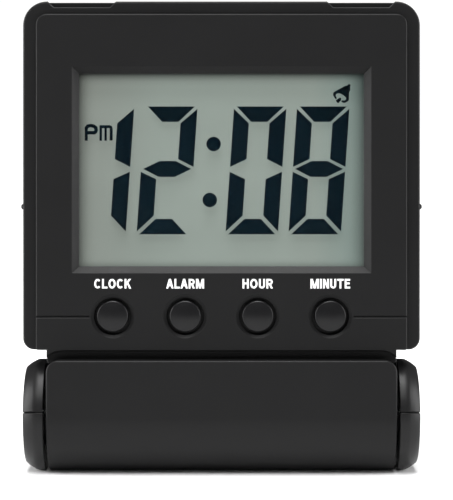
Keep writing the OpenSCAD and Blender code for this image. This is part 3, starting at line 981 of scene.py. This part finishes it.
@dataclass
class Case:
    """The two shells: the front one carries the bezel, the neck and the barrel."""

    half_w: float = 33.0
    top: float = 69.0
    shoulder: float = 11.1
    corner_top: float = 4.0
    corner_low: float = 1.9
    corner_steps: int = 14
    band_y: float = 5.0
    bezel_y: float = 6.4
    bezel_half: float = 30.75
    bezel_top: float = 66.8
    bezel_corner: float = 1.75
    bezel_low_corner: float = 0.35
    groove_top: float = 10.9
    groove_r: float = 3.5
    groove_in: float = 2.6
    neck_half: float = 29.0
    neck_corner: float = 0.3
    split_y: float = 2.0
    back_y: float = 12.0
    barrel_r: float = 9.35
    barrel_top: float = 9.5
    barrel_half: float = 28.87
    barrel_edge: float = 0.3
    flat_stops: tuple[float, ...] = (2.0, 4.0, 5.6, 6.6, 7.2, 7.7, 8.2, 8.6, 8.9)
    skin: float = 0.01
    edge: float = 0.4
    bezel_edge: float = 0.3
    joint_edge: float = 0.12
    key_x: tuple[float, ...] = (-18.0, -6.0, 6.0, 18.0)
    key_z: float = 16.7
    lip: tuple[Point2, ...] = ((3.12, 0.6), (3.12, 0.28), (3.66, 0.012), (3.9, 0.02), (3.9, 0.6), (3.12, 0.6))
    nub_r: float = 0.53
    nub_long: float = 3.0
    nub_at: Point2 = (-3.0, 34.9)
    notch_x: float = 23.2
    notch: tuple[Point2, ...] = ((-4.65, 68.0), (4.65, 68.0), (6.75, 70.0), (-6.75, 70.0))

    def _front_view(self) -> list[Point2]:
        """The body's outline, anticlockwise."""
        return soft_rect(self.half_w, self.shoulder, self.top, self.corner_low, self.corner_top,
                         self.corner_steps)

    def body_form(self) -> Solid:
        """The body with its front edge rounded and the joint's edge broken.

        Returns:
            The form.
        """
        outline = inset(self._front_view(), self.skin)
        return Solid.slab(outline, self.skin - self.band_y, self.split_y, self.edge, self.joint_edge)

    def bezel_form(self) -> Solid:
        """The raised bezel, which runs down over the neck to the groove.

        Returns:
            The form.
        """
        corner = arc((self.bezel_half - self.bezel_corner, self.bezel_top - self.bezel_corner),
                     self.bezel_corner, 0, 90, 12)
        centre = (self.neck_half - self.groove_in, self.groove_top - self.groove_r)
        side = math.degrees(math.acos((self.neck_half - centre[0]) / self.groove_r))
        groove = arc(centre, self.groove_r, 90, side, 8)
        low_r = self.bezel_low_corner
        low = arc((self.bezel_half - low_r, self.shoulder + low_r), low_r, -90, 0, 4)
        right = [*groove, (self.neck_half, self.shoulder), *low, *corner]
        outline = inset(right + [(-x, z) for x, z in reversed(right)], self.skin)
        return Solid.slab(outline, self.skin - self.bezel_y, -self.band_y + 0.6, self.bezel_edge)

    def neck_form(self) -> Solid:
        """The neck between the shoulders and the barrel.

        Returns:
            The form.
        """
        outline = soft_rect(self.neck_half - self.skin, self.barrel_top - 0.6, self.shoulder + 0.8,
                            self.neck_corner, self.neck_corner, 2)
        return Solid.slab(outline, self.skin - self.band_y, self.split_y, 0.15)

    def barrel_form(self) -> Solid:
        """The barrel with all its edges rounded, in one loft from end to end.

        Returns:
            The form.
        """
        radius = self.barrel_r - self.skin
        edge = self.barrel_edge
        front = arc((0.0, 0.0), radius, 270, 180, 26)
        front += [(-radius, z) for z in self.flat_stops]
        front += arc((edge - radius, self.barrel_top - edge), edge, 180, 90, 4)
        section = [(-y, z) for y, z in front[1:]]
        section += [(y, z) for y, z in reversed(front)]
        rings = []
        for side in (-1, 1):
            levels = rounding(self.edge - 0.05, 5)
            for inwards, deep in levels if side < 0 else reversed(levels):
                ring = inset(section, inwards)
                rings.append([(side * (self._barrel_end(z) - deep), y, z) for y, z in ring])
        return self._laddered(rings, len(front))

    def _barrel_end(self, z: float) -> float:
        """Half length of the barrel, which is less at its rounded top and bottom corners.

        Args:
            z: the height on the barrel.

        Returns:
            The half length.
        """
        for corner_r, limit, sign in ((1.9, self.barrel_top, 1), (0.8, -self.barrel_r - 0.3, -1)):
            over = sign * z - (sign * limit - corner_r)
            if over > 0:
                return self.barrel_half - self.skin - corner_r + math.sqrt(max(0.0, corner_r**2 - over**2))
        return self.barrel_half - self.skin

    @staticmethod
    def _laddered(rings: Sequence[Sequence[Sequence[float]]], half_count: int) -> Solid:
        """Joins rings, and closes both ends with strips from front to back, because they aren't flat.

        Args:
            rings: rings of equally many points.
            half_count: how many of a ring's points lie on its front half.

        Returns:
            The solid.
        """
        count = len(rings[0])
        faces = ring_faces(len(rings), count)
        for start in (0, (len(rings) - 1) * count):
            last = count - 1
            for i in range(half_count - 1):
                face = (start + i, start + i + 1, start + last - i - 2, start + last - i - 1)
                faces.append(tuple(dict.fromkeys(face)))
            faces.append((start, start + last - 1, start + last))
        return Solid.from_faces([p for ring in rings for p in ring], [f for f in faces if len(f) > 2])

    def nub_form(self, side: int) -> Solid:
        """A grip ridge on a side wall, its ends rounded.

        Args:
            side: -1 for the left wall, 1 for the right.

        Returns:
            The ridge.
        """
        ends = arc((0.0, self.nub_r), self.nub_r, -90, 0, 5)
        ends += arc((0.0, self.nub_long - self.nub_r), self.nub_r, 0, 90, 5)
        nub = Solid.lathe([(max(r, 0.001), along) for r, along in ends], 24)
        place = Matrix.Translation((side * self.half_w, *self.nub_at))
        return nub.moved(place @ Matrix.Rotation(math.pi / 2, 4, "Z"))

    def lip_form(self, x: float) -> Solid:
        """A ring that makes the sloped lip round a key shallower.

        Args:
            x: the key's place across the bezel.

        Returns:
            The ring.
        """
        turns = full_turn(96)
        front = self.skin - self.bezel_y
        rings = [[(x + r * math.cos(t), deep + front, self.key_z + r * math.sin(t)) for t in turns]
                 for r, deep in self.lip]
        return Solid.from_faces([p for ring in rings for p in ring], ring_faces(len(rings), len(turns)))

    def notch_edge(self, side: int) -> Solid:
        """What is cut away along a hook notch's front edge, to break it.

        Args:
            side: -1 for the left notch, 1 for the right.

        Returns:
            The cutter.
        """
        outline = [(side * self.notch_x + x, z) for x, z in self.notch]
        return Solid.layers(outline, [(-0.4, -5.25), (0.0, -4.84)])

    def build(self) -> None:
        """Trims the front shell by its rounded form, and adds the back shell."""
        form = self.body_form()
        for part in (self.bezel_form(), self.neck_form(), self.barrel_form()):
            form.combine(part, Op.JOIN)
        shell = Solid.of_node("front_case", STAND.clock())
        shell.combine(form, Op.KEEP)
        for x in self.key_x:
            shell.combine(self.lip_form(x), Op.JOIN)
        for side in (-1, 1):
            shell.combine(self.notch_edge(side), Op.CUT)
            shell.combine(self.nub_form(side), Op.JOIN)
        add_solid("front_shell", shell, STAND.clock(), "clock", CASE.material(), ["front_case"])
        self.build_back()

    def build_back(self) -> None:
        """Breaks the back shell's edge at the joint."""
        start, spare = self.split_y - 0.01, 0.03
        form = Solid.layers(self._front_view(), [(0.12, start), (-spare, self.split_y + 0.13),
                                                 (-spare, self.back_y)])
        neck = soft_rect(self.neck_half + spare, self.barrel_top - 0.5, self.shoulder + 1.0, 0.05, 0.05, 1)
        form.combine(Solid.slab(neck, start, self.back_y, 0.0), Op.JOIN)
        shell = Solid.of_node("rear_case", STAND.clock()).combine(form, Op.KEEP)
        add_solid("back_shell", shell, STAND.clock(), "clock", BACK.material(), ["rear_case"])


# ---------------------------------------------------------------- copies of the CAD's pieces


@dataclass(frozen=True)
class Copied:
    """A CAD node that is shown as it is, smoothly shaded and with its small edges broken."""

    node: str
    body: str
    slot: str
    finish: Finish
    edge: float
    crease: float

    def build(self) -> None:
        """Adds the piece."""
        solid = Solid.of_node(self.node, STAND.clock())
        piece = add_solid(self.node + "_made", solid, STAND.clock(), self.body,
                          self.finish.material(), [self.node], self.crease)
        if self.edge:
            bevel = piece.modifiers.new("edges", "BEVEL")
            bevel.width = self.edge * MM
            bevel.segments = 2
            bevel.limit_method = "ANGLE"
            bevel.angle_limit = math.radians(40)
            piece.modifiers.move(1, 0)


# ---------------------------------------------------------------- display


@dataclass
class Digit:
    """A seven-segment digit, measured from its top left corner before it is slanted."""

    left: float
    lit: str
    width: float = 8.66
    height: float = 21.26
    top: float = 51.6
    slant: float = 0.0675
    swell: float = 0.05

    def _corners(self, segment: str) -> list[Point2]:
        """A segment's corners.

        Args:
            segment: the segment's letter, a to g.

        Returns:
            The corners, as (right of the left edge, below the top).
        """
        w, h = self.width, self.height
        lying = [(0.53, 0.0), (w - 0.53, 0.0), (w - 2.98, 2.46), (2.98, 2.46)]
        upper = [(0.0, 0.45), (2.56, 2.79), (2.56, 8.71), (0.0, 9.97)]
        lower = [(0.0, 10.94), (2.56, 12.13), (2.56, 18.18), (0.0, 20.72)]
        shapes = {
            "a": lying,
            "d": [(u, h - v) for u, v in lying],
            "f": upper,
            "b": [(w - u, v) for u, v in upper],
            "e": lower,
            "c": [(w - u, v) for u, v in lower],
            "g": [(0.43, 10.39), (3.0, 9.11), (w - 3.0, 9.11), (w - 0.43, 10.39), (w - 3.0, 11.67),
                  (3.0, 11.67)],
        }
        return shapes[segment]

    def outlines(self) -> list[list[Point2]]:
        """The outlines of the segments that are on.

        Returns:
            One outline for each segment.
        """
        made = []
        for segment in self.lit:
            corners = self._corners(segment)
            shape = [(self.left + u + self.slant * (self.height - v), self.top - v) for u, v in corners]
            made.append(inset(counter_clockwise(shape), -self.swell))
        return made


# The bell sign's body and clapper
BELL = (
    (19.14, 52.94), (18.89, 53.26), (18.7, 53.65), (18.78, 53.97), (19.19, 54.24), (19.87, 54.59),
    (20.3, 54.84), (20.81, 55.1), (21.06, 55.06), (21.15, 55.23), (21.33, 55.36), (21.51, 55.25),
    (21.53, 55.1), (21.41, 54.93), (21.44, 54.71), (21.53, 54.5), (21.41, 54.29), (21.28, 54.07),
    (21.26, 53.43), (21.27, 52.88), (21.17, 52.62), (20.81, 52.4), (20.51, 52.3), (20.25, 52.39),
    (20.08, 52.54), (20.23, 52.63), (20.47, 52.59), (20.72, 52.67), (20.92, 52.92), (20.85, 53.22),
    (20.55, 53.48), (20.04, 53.82), (19.7, 53.91), (19.4, 53.9), (19.14, 53.77), (19.03, 53.52),
    (19.12, 53.26), (19.23, 53.05),
)
CLAPPER = (
    (19.19, 52.64), (19.7, 53.03), (19.87, 53.09), (19.99, 52.94), (19.93, 52.73), (19.53, 52.28),
    (19.36, 52.37),
)


@dataclass(frozen=True)
class Pane:
    """A pane of the display or the window, with ground edges."""

    node: str
    half: float
    low: float
    top: float
    front: float
    back: float
    edge: float
    slot: str
    finish: Finish
    corner: float = 0.5
    skin: float = 0.02

    def build(self) -> None:
        """Adds the pane, a hair smaller than its CAD node; a clear one casts no shadow."""
        outline = soft_rect(self.half - self.skin, self.low + self.skin, self.top - self.skin,
                            self.corner, self.corner, 4)
        pane = Solid.slab(outline, self.front, self.back, self.edge, self.edge, 2)
        piece = add_solid(self.node + "_pane", pane, STAND.clock(), "clock",
                          self.finish.material(), [self.node])
        piece.visible_shadow = not isinstance(self.finish, ClearPane)


@dataclass
class Display:
    """The window lens, the two glasses, the reflector and the picture between the glasses."""

    panes: tuple[Pane, ...] = (
        Pane("lens", 25.2, 23.1, 58.8, -4.78, -3.82, 0.08, "clear_window", LENS),
        Pane("lcd_front_glass", 24.4, 23.6, 58.4, -3.69, -2.65, 0.05, "lcd_glass", GLASS),
        Pane("lcd_rear_glass", 24.4, 24.7, 57.3, -2.59, -1.54, 0.05, "lcd_glass", GLASS),
        Pane("lcd_reflector", 24.4, 24.7, 57.3, -1.5, -1.3, 0.0, "lcd_face", FILM),
    )
    ink_front: float = -2.63
    ink_thick: float = 0.02
    digits: tuple[Digit, ...] = (
        Digit(-24.74, "bc"),
        Digit(-14.15, "abged"),
        Digit(0.72, "abcdef"),
        Digit(11.26, "abcdefg"),
    )
    dots: tuple[Point2, ...] = ((-1.32, 45.38), (-1.96, 36.02))
    dot_r: float = 1.21

    def _sign(self) -> Solid:
        """The two letters of the afternoon sign.

        Returns:
            The letters, in one solid.
        """
        bowl = [(-22.62, 47.8), (-22.6, 48.08), (-22.35, 48.38), (-21.87, 48.46), (-21.39, 48.38),
                (-21.01, 48.08), (-20.95, 47.76), (-21.04, 47.44), (-21.25, 47.27), (-22.62, 47.27)]
        arch = [(-20.37, 48.28), (-18.75, 48.28), (-18.53, 48.18), (-18.45, 47.9), (-18.45, 45.98)]
        lines = [([(-22.62, 45.93), (-22.62, 48.0)], 0.5), (bowl, 0.58), (arch, 0.5),
                 ([(-20.2, 45.93), (-20.2, 48.45)], 0.42), ([(-19.38, 45.93), (-19.38, 48.3)], 0.4)]
        return Solid.strokes(lines, self.ink_front, self.ink_front + self.ink_thick)

    def build(self) -> None:
        """Builds the panes, the reflector and the picture."""
        for pane in self.panes:
            pane.build()
        picture = [outline for digit in self.digits for outline in digit.outlines()]
        picture += [arc(dot, self.dot_r, 0, 350, 35) for dot in self.dots]
        picture += [inset(counter_clockwise(outline), -0.06) for outline in (BELL, CLAPPER)]
        points: list[Point3] = []
        faces: list[tuple[int, ...]] = []
        ink_back = self.ink_front + self.ink_thick
        for outline in picture:
            add_prism(points, faces, counter_clockwise(outline), self.ink_front, ink_back)
        add_solid("display_picture", Solid.from_faces(points, faces), STAND.clock(), "clock",
                  SEGMENT.material())
        add_solid("display_sign", self._sign(), STAND.clock(), "clock", SEGMENT.material())


def add_prism(points: list[Point3], faces: list[tuple[int, ...]], outline: Sequence[Point2],
              front: float, back: float) -> None:
    """Adds a prism's corners and faces to lists.

    Args:
        points: corners so far.
        faces: faces so far.
        outline: the prism's front view.
        front: depth of its front face.
        back: depth of its back face.
    """
    start, count = len(points), len(outline)
    points += [(x, y, z) for y in (front, back) for x, z in outline]
    faces += [tuple(range(start, start + count)), tuple(range(start + 2 * count - 1, start + count - 1, -1))]
    for i in range(count):
        j = (i + 1) % count
        faces.append((start + i, start + j, start + count + j, start + count + i))


# ---------------------------------------------------------------- keys


def oval(centre: Point2, half: Point2, start: float, stop: float, steps: int = 16) -> list[Point2]:
    """Points along a stretch of an oval, as arc() does for a circle."""
    turns = arc((0.0, 0.0), 1.0, start, stop, steps)
    return [(centre[0] + half[0] * x, centre[1] + half[1] * z) for x, z in turns]


# Plain bold capitals one unit high: each one's width, and the lines of its strokes
LETTERS: dict[str, tuple[float, list[list[Point2]]]] = {
    "A": (0.76, [[(0.03, -0.2), (0.38, 1.02)], [(0.38, 1.02), (0.73, -0.2)], [(0.17, 0.33), (0.59, 0.33)]]),
    "C": (0.72, [oval((0.37, 0.5), (0.265, 0.4), 42, 318)]),
    "E": (0.59, [[(0.11, 0.0), (0.11, 1.0)], [(0.1, 0.9), (0.58, 0.9)], [(0.1, 0.53), (0.54, 0.53)],
                 [(0.1, 0.1), (0.59, 0.1)]]),
    "H": (0.66, [[(0.11, 0.0), (0.11, 1.0)], [(0.55, 0.0), (0.55, 1.0)], [(0.1, 0.53), (0.56, 0.53)]]),
    "I": (0.22, [[(0.11, 0.0), (0.11, 1.0)]]),
    "K": (0.72, [[(0.11, 0.0), (0.11, 1.0)], [(0.05, 0.28), (0.66, 1.1)], [(0.3, 0.62), (0.66, -0.1)]]),
    "L": (0.58, [[(0.11, 0.0), (0.11, 1.0)], [(0.1, 0.1), (0.58, 0.1)]]),
    "M": (0.88, [[(0.1, 0.0), (0.1, 1.0)], [(0.78, 0.0), (0.78, 1.0)], [(0.12, 1.1), (0.44, 0.0)],
                [(0.44, 0.0), (0.76, 1.1)]]),
    "N": (0.66, [[(0.11, 0.0), (0.11, 1.0)], [(0.55, 0.0), (0.55, 1.0)], [(0.08, 1.1), (0.58, -0.1)]]),
    "O": (0.78, [oval((0.39, 0.5), (0.28, 0.4), 0, 190), oval((0.39, 0.5), (0.28, 0.4), 180, 370)]),
    "R": (0.7, [[(0.11, 0.0), (0.11, 1.0)],
                [(0.1, 0.9), *oval((0.36, 0.68), (0.2, 0.22), 90, -90, 10), (0.1, 0.46)],
                [(0.35, 0.48), (0.62, -0.1)]]),
    "T": (0.66, [[(0.0, 0.9), (0.66, 0.9)], [(0.33, 0.0), (0.33, 1.0)]]),
    "U": (0.65, [[(0.11, 1.0), *oval((0.325, 0.32), (0.215, 0.22), 180, 360, 10), (0.54, 1.0)]]),
}


@dataclass
class Key:
    """A round push key with a slightly domed top, and the word over it."""

    word: str
    x: float
    word_w: float
    z: float = 16.7
    radius: float = 2.59
    top: float = 7.04
    dome_r: float = 9.0
    edge: float = 0.28
    flange_r: float = 3.69
    word_z: float = 21.3
    word_tall: float = 1.6
    letter_gap: float = 0.1
    letter_bold: float = 0.19

    def _profile(self) -> list[Point2]:
        """The key's profile, from the middle of its top to the end of its stem.

        Returns:
            (radius, distance in front of the hinge axis) pairs.
        """
        dome = []
        edge_at = self.radius - self.edge
        for i in range(9):
            r = edge_at * i / 8
            dome.append((max(r, 0.001), self.top - self.dome_r + math.sqrt(self.dome_r**2 - r**2)))
        fall = self.dome_r - math.sqrt(self.dome_r**2 - edge_at**2)
        centre = (edge_at, self.top - fall - self.edge)
        rounded = arc(centre, self.edge, 80, 0, 5)
        return [*dome, *rounded, (self.radius, 3.76), (self.flange_r - 0.08, 3.74), (self.flange_r, 3.66),
                (self.flange_r, 3.02), (1.29, 3.02), (1.29, 1.52), (0.001, 1.52)]

    def build(self) -> None:
        """Builds the key and its word."""
        body = self.word.lower() + "_key"
        turned = Solid.lathe(self._profile(), 72)
        place = Matrix.Translation((self.x, 0.0, self.z)) @ Matrix.Rotation(-math.pi / 2, 4, "Z")
        add_solid(body + "_top", turned.moved(place), STAND.clock(), body, KEYS.material(),
                  ["key_" + self.word.lower()], 40.0)
        self._print_word()

    def _print_word(self) -> None:
        """Prints the word over the key."""
        tall, low = self.word_tall, self.word_z
        full = sum(LETTERS[letter][0] for letter in self.word) + self.letter_gap * (len(self.word) - 1)
        wide = self.word_w / full
        lines, place = [], self.x - self.word_w / 2
        for letter in self.word:
            width, shapes = LETTERS[letter]
            for shape in shapes:
                line = [(place + x * wide, low + z * tall) for x, z in shape]
                lines.append((line, self.letter_bold * tall))
            place += (width + self.letter_gap) * wide
        word = Solid.strokes(lines, -6.405, -6.39)
        line = soft_rect(40.0, low, low + tall, 0.01, 0.01, 1)
        word.combine(Solid.slab(line, -7.0, -6.0, 0.0), Op.KEEP)
        add_solid("word_" + self.word.lower(), word, STAND.clock(), "clock", PRINT.material())


# ---------------------------------------------------------------- cover


@dataclass
class Cover:
    """The cover that stands behind the clock, its two arms' discs, and the caps that close them."""

    disc: tuple[Point2, ...] = ((29.36, 9.35), (30.7, 9.35), (31.6, 8.9), (32.35, 8.4), (32.95, 7.8),
                                (32.95, 0.0))
    half_w: float = 33.0
    low: float = -0.2
    top: float = 69.0
    corner: float = 4.0
    rim_back: float = 5.2
    skin: float = 0.01
    seam: float = 0.1
    vee: float = 0.13

    def _smooth(self) -> list[Point2]:
        """The disc's profile with its corners cut round, inside the plain one.

        Returns:
            (place along the axis, radius) pairs.
        """
        line = [(x - self.skin * (x > 30), r - self.skin) for x, r in self.disc]
        line[0] = (self.disc[0][0] + self.skin, line[0][1])
        for _ in range(3):
            cut = [line[0]]
            for a, b in zip(line, line[1:], strict=False):
                cut += [(a[0] * 0.75 + b[0] * 0.25, a[1] * 0.75 + b[1] * 0.25),
                        (a[0] * 0.25 + b[0] * 0.75, a[1] * 0.25 + b[1] * 0.75)]
            line = [*cut, line[-1]]
        kept = [line[0]]
        kept += [p for p in line[1:] if math.dist(p, kept[-1]) > 0.02 and p[1] > 0.3]
        return kept

    def _disc(self, side: int) -> Solid:
        """A whole disc with a smooth profile.

        Args:
            side: -1 for the left disc, 1 for the right.

        Returns:
            The disc.
        """
        inner = self.disc[0][0] + self.skin
        line = self._smooth()
        profile = [(0.001, inner), (line[0][1] - 0.1, inner), (line[0][1], inner + 0.1)]
        profile += [(r, x) for x, r in line[1:]]
        profile += [(0.001, self.disc[-1][0] - self.skin)]
        turned = Solid.lathe(profile, 144)
        return turned if side > 0 else turned.moved(Matrix.Scale(-1, 4, (1, 0, 0)))

    def _seam_form(self, side: int, way: int) -> Solid:
        """The space on one side of the seam in a disc, its edge broken.

        Args:
            side: -1 for the left disc, 1 for the right.
            way: 1 for the cap's side and -1 for the arm's.

        Returns:
            The space.
        """
        line = self._smooth()
        top = [(line[0][0], line[0][1]), *line[1:], (self.disc[-1][0] - self.skin, 0.3)]
        outline = top + [(x, -z) for x, z in reversed(top)]
        outline = counter_clockwise([(side * x, z) for x, z in outline])
        start = self.seam + 0.005 if way > 0 else -0.005
        levels = [(self.vee, start), (0.0, start + way * self.vee), (-0.5, start + way * self.vee * 1.01),
                  (-0.5, way * 12.0)]
        return Solid.layers(outline, levels)

    def _plate_form(self) -> Solid:
        """The cover's block, its outer edge rounded as the discs' are.

        Returns:
            The form.
        """
        outline = soft_rect(self.half_w - self.skin, self.low, self.top - self.skin, 0.05, self.corner, 14)
        levels = [(self.disc[-1][0] - x, -r) for x, r in self._smooth()[1:]]
        levels = [(i, y) for i, y in levels if y < -7.0]
        levels += [(0.0, -7.0), (0.0, -self.rim_back - 0.15), (0.12, -self.rim_back - 0.02)]
        rings = []
        for inwards, y in levels:
            rings.append([(x, y, z if z > 1.0 else self.low) for x, z in inset(outline, inwards)])
        return Solid.loft(rings)

    def build(self) -> None:
        """Builds the cover and the two caps."""
        form = self._plate_form()
        form.combine(Solid.slab(soft_rect(30.0, 66.0, 69.5, 0.3, 0.3, 1), -6.0, -1.0, 0.0), Op.JOIN)
        near = Solid.slab(soft_rect(40.0, -20.0, 80.0, 1.0, 1.0, 1), -12.0, -0.9, 0.0)
        for side in (-1, 1):
            half = self._disc(side).combine(self._seam_form(side, -1), Op.KEEP)
            form.combine(half, Op.JOIN)
            near.combine(self._seam_form(side, -1), Op.JOIN)
        shell = Solid.of_node("cover", STAND.cover()).combine(form, Op.KEEP)
        add_solid("cover_shell", shell, STAND.cover(), "cover", COVER.material(), ["cover"])
        for side, name in ((-1, "hinge_cap_left"), (1, "hinge_cap_right")):
            cap = Solid.of_node(name, STAND.cover()).combine(self._disc(side), Op.KEEP)
            cap.combine(self._seam_form(side, 1), Op.KEEP)
            add_solid(name + "_shell", cap, STAND.cover(), "cover", CAPS.material(), [name])


# The copied pieces: body, material slot, finish, broken edge, crease and the CAD nodes
COPIES = (
    ("clock", "white_plastic", WHITE, 0.0, 30.0, ("lcd_holder",)),
    ("clock", "zebra_rubber", RUBBER, 0.0, 30.0, ("zebra_upper", "zebra_lower")),
    ("clock", "circuit_board", MASK, 0.0, 30.0, ("circuit_board",)),
    ("clock", "epoxy", EPOXY, 0.0, 30.0, ("clock_chip",)),
    ("clock", "bright_metal", STEEL, 0.0, 30.0, ("crystal",)),
    ("clock", "ceramic", CERAMIC, 0.08, 30.0, ("capacitor_1", "capacitor_2")),
    ("clock_key", "white_plastic", WHITE, 0.0, 30.0, ("plunger_clock",)),
    ("alarm_key", "white_plastic", WHITE, 0.0, 30.0, ("plunger_alarm",)),
    ("hour_key", "white_plastic", WHITE, 0.0, 30.0, ("plunger_hour",)),
    ("minute_key", "white_plastic", WHITE, 0.0, 30.0, ("plunger_minute",)),
    ("clock", "switch_body", SWITCH, 0.1, 30.0, ("switch_clock", "switch_alarm", "switch_hour",
                                                 "switch_minute")),
    ("clock", "brass", BRASS, 0.06, 30.0, ("buzzer_plate",)),
    ("clock", "ceramic", CERAMIC, 0.05, 30.0, ("buzzer_ceramic",)),
    ("clock", "cell", SLEEVE, 0.3, 30.0, ("battery_cell",)),
    ("clock", "bright_metal", STEEL, 0.0, 70.0, ("battery_spring",)),
    ("clock", "bright_metal", STEEL, 0.1, 30.0, ("negative_plate", "positive_plate")),
    ("door", "case_back", BACK, 0.0, 30.0, ("battery_door",)),
    ("clock", "red_wire", RED_WIRE, 0.0, 70.0, ("positive_wire",)),
    ("clock", "black_wire", BLACK_WIRE, 0.0, 70.0, ("negative_wire",)),
    ("clock", "red_wire", RED_WIRE, 0.0, 70.0, ("buzzer_wire_1",)),
    ("clock", "black_wire", BLACK_WIRE, 0.0, 70.0, ("buzzer_wire_2",)),
    ("clock", "screw_steel", SCREW, 0.0, 30.0, ("case_screws", "board_screws")),
    ("cover", "screw_steel", SCREW, 0.0, 30.0, ("cap_screws",)),
    ("cover", "bright_metal", STEEL, 0.0, 30.0, ("hinge_pin_left", "hinge_pin_right", "friction_washer_left",
                                                 "friction_washer_right", "retaining_clip_left",
                                                 "retaining_clip_right")),
)


# ---------------------------------------------------------------- studio


@dataclass(frozen=True)
class Softbox:
    """A soft light: its place round the clock is 0 degrees in front and 90 at the right."""

    name: str
    azimuth: float
    elevation: float
    distance: float
    size: Point2
    power: float

    def hang(self, aim: Vector) -> None:
        """Hangs the light, and turns it to the clock.

        Args:
            aim: the point that it looks at.
        """
        light = bpy.data.lights.new(self.name, "AREA")
        light.shape = "RECTANGLE"
        light.size, light.size_y = self.size
        light.energy = self.power
        lamp = bpy.data.objects.new(self.name, light)
        bpy.context.scene.collection.objects.link(lamp)
        a, e = math.radians(self.azimuth), math.radians(self.elevation)
        away = Vector((math.sin(a) * math.cos(e), -math.cos(a) * math.cos(e), math.sin(e)))
        lamp.location = aim + away * self.distance
        lamp.rotation_euler = (-away).to_track_quat("-Z", "Y").to_euler()


@dataclass
class Studio:
    """Floor, lights, world and camera."""

    view_distance: float = 350.0
    view_height: float = 29.66
    lens: float = 149.54
    shift: Point2 = (0.01, -0.024)
    floor_half: float = 8.0
    sun: float = 3.6
    sun_spread: float = 30.0
    sun_tilt: float = 9.0
    ambient: float = 0.14
    backdrop: float = 1.05
    aim_z: float = 30.0
    softboxes: tuple[Softbox, ...] = (
        Softbox("key", -10.0, 52.0, 0.9, (0.6, 0.28), 4.8),
        Softbox("side_left", -84.0, 16.0, 0.8, (0.45, 0.6), 8.5),
        Softbox("side_right", 84.0, 16.0, 0.8, (0.45, 0.6), 7.0),
    )

    def build(self) -> None:
        """Makes the whole studio."""
        self._floor()
        self._world()
        self._lights()
        self._camera()

    def _floor(self) -> None:
        """A wide pale floor."""
        half = self.floor_half
        form = bmesh.new()
        corners = ((-1, -1), (1, -1), (1, 1), (-1, 1))
        form.faces.new([form.verts.new((x * half, y * half, 0.0)) for x, y in corners])
        mesh = bpy.data.meshes.new("floor")
        form.to_mesh(mesh)
        form.free()
        mesh.materials.append(PAPER.material())
        floor = bpy.data.objects.new("floor", mesh)
        bpy.context.scene.collection.objects.link(floor)

    def _world(self) -> None:
        """White to look at, and dimmer as a light."""
        world = bpy.data.worlds.new("studio")
        bpy.context.scene.world = world
        graph = Graph(world)
        lit, seen = (graph.node("Background", None, {"Color": (1.0, 1.0, 1.0), "Strength": strength}).out()
                     for strength in (self.ambient, self.backdrop))
        looked_at = graph.node("LightPath").value("Is Camera Ray")
        both = graph.node("MixShader", None, {0: looked_at, 1: lit, 2: seen})
        graph.node("OutputWorld", None, {"Surface": both.out()})

    def _lights(self) -> None:
        """Soft light from straight above, a softbox high in front and strips at the sides."""
        middle = STAND.clock() @ Vector((0.0, 0.0, self.aim_z))
        above = bpy.data.lights.new("overhead", "SUN")
        above.energy = self.sun
        above.angle = math.radians(self.sun_spread)
        lamp = bpy.data.objects.new("overhead", above)
        bpy.context.scene.collection.objects.link(lamp)
        lamp.rotation_euler = (math.radians(self.sun_tilt), 0.0, 0.0)
        for softbox in self.softboxes:
            softbox.hang(middle)

    def _camera(self) -> None:
        """A long lens square to the clock's face."""
        data = bpy.data.cameras.new("camera")
        camera = bpy.data.objects.new("camera", data)
        bpy.context.scene.collection.objects.link(camera)
        back = Matrix.Translation((0.0, -self.view_distance * MM, self.view_height * MM))
        camera.matrix_world = STAND.upright() @ back @ Matrix.Rotation(math.pi / 2, 4, "X")
        data.lens = self.lens
        data.shift_x, data.shift_y = self.shift
        data.clip_start, data.clip_end = 0.01, 20.0
        scene = bpy.context.scene
        scene.camera = camera
        scene.view_settings.view_transform = "Standard"


def main() -> None:
    """Builds the clock's pieces and the studio."""
    logging.basicConfig(level=logging.INFO, format="%(name)s: %(message)s")
    Case().build()
    Display().build()
    for word, x, word_w in (("CLOCK", -18.0, 6.14), ("ALARM", -6.0, 6.24), ("HOUR", 6.0, 5.11),
                            ("MINUTE", 18.0, 6.58)):
        Key(word, x, word_w).build()
    Cover().build()
    for *how, nodes in COPIES:
        for node in nodes:
            Copied(node, *how).build()
    Studio().build()


if __name__ == "__main__":
    main()
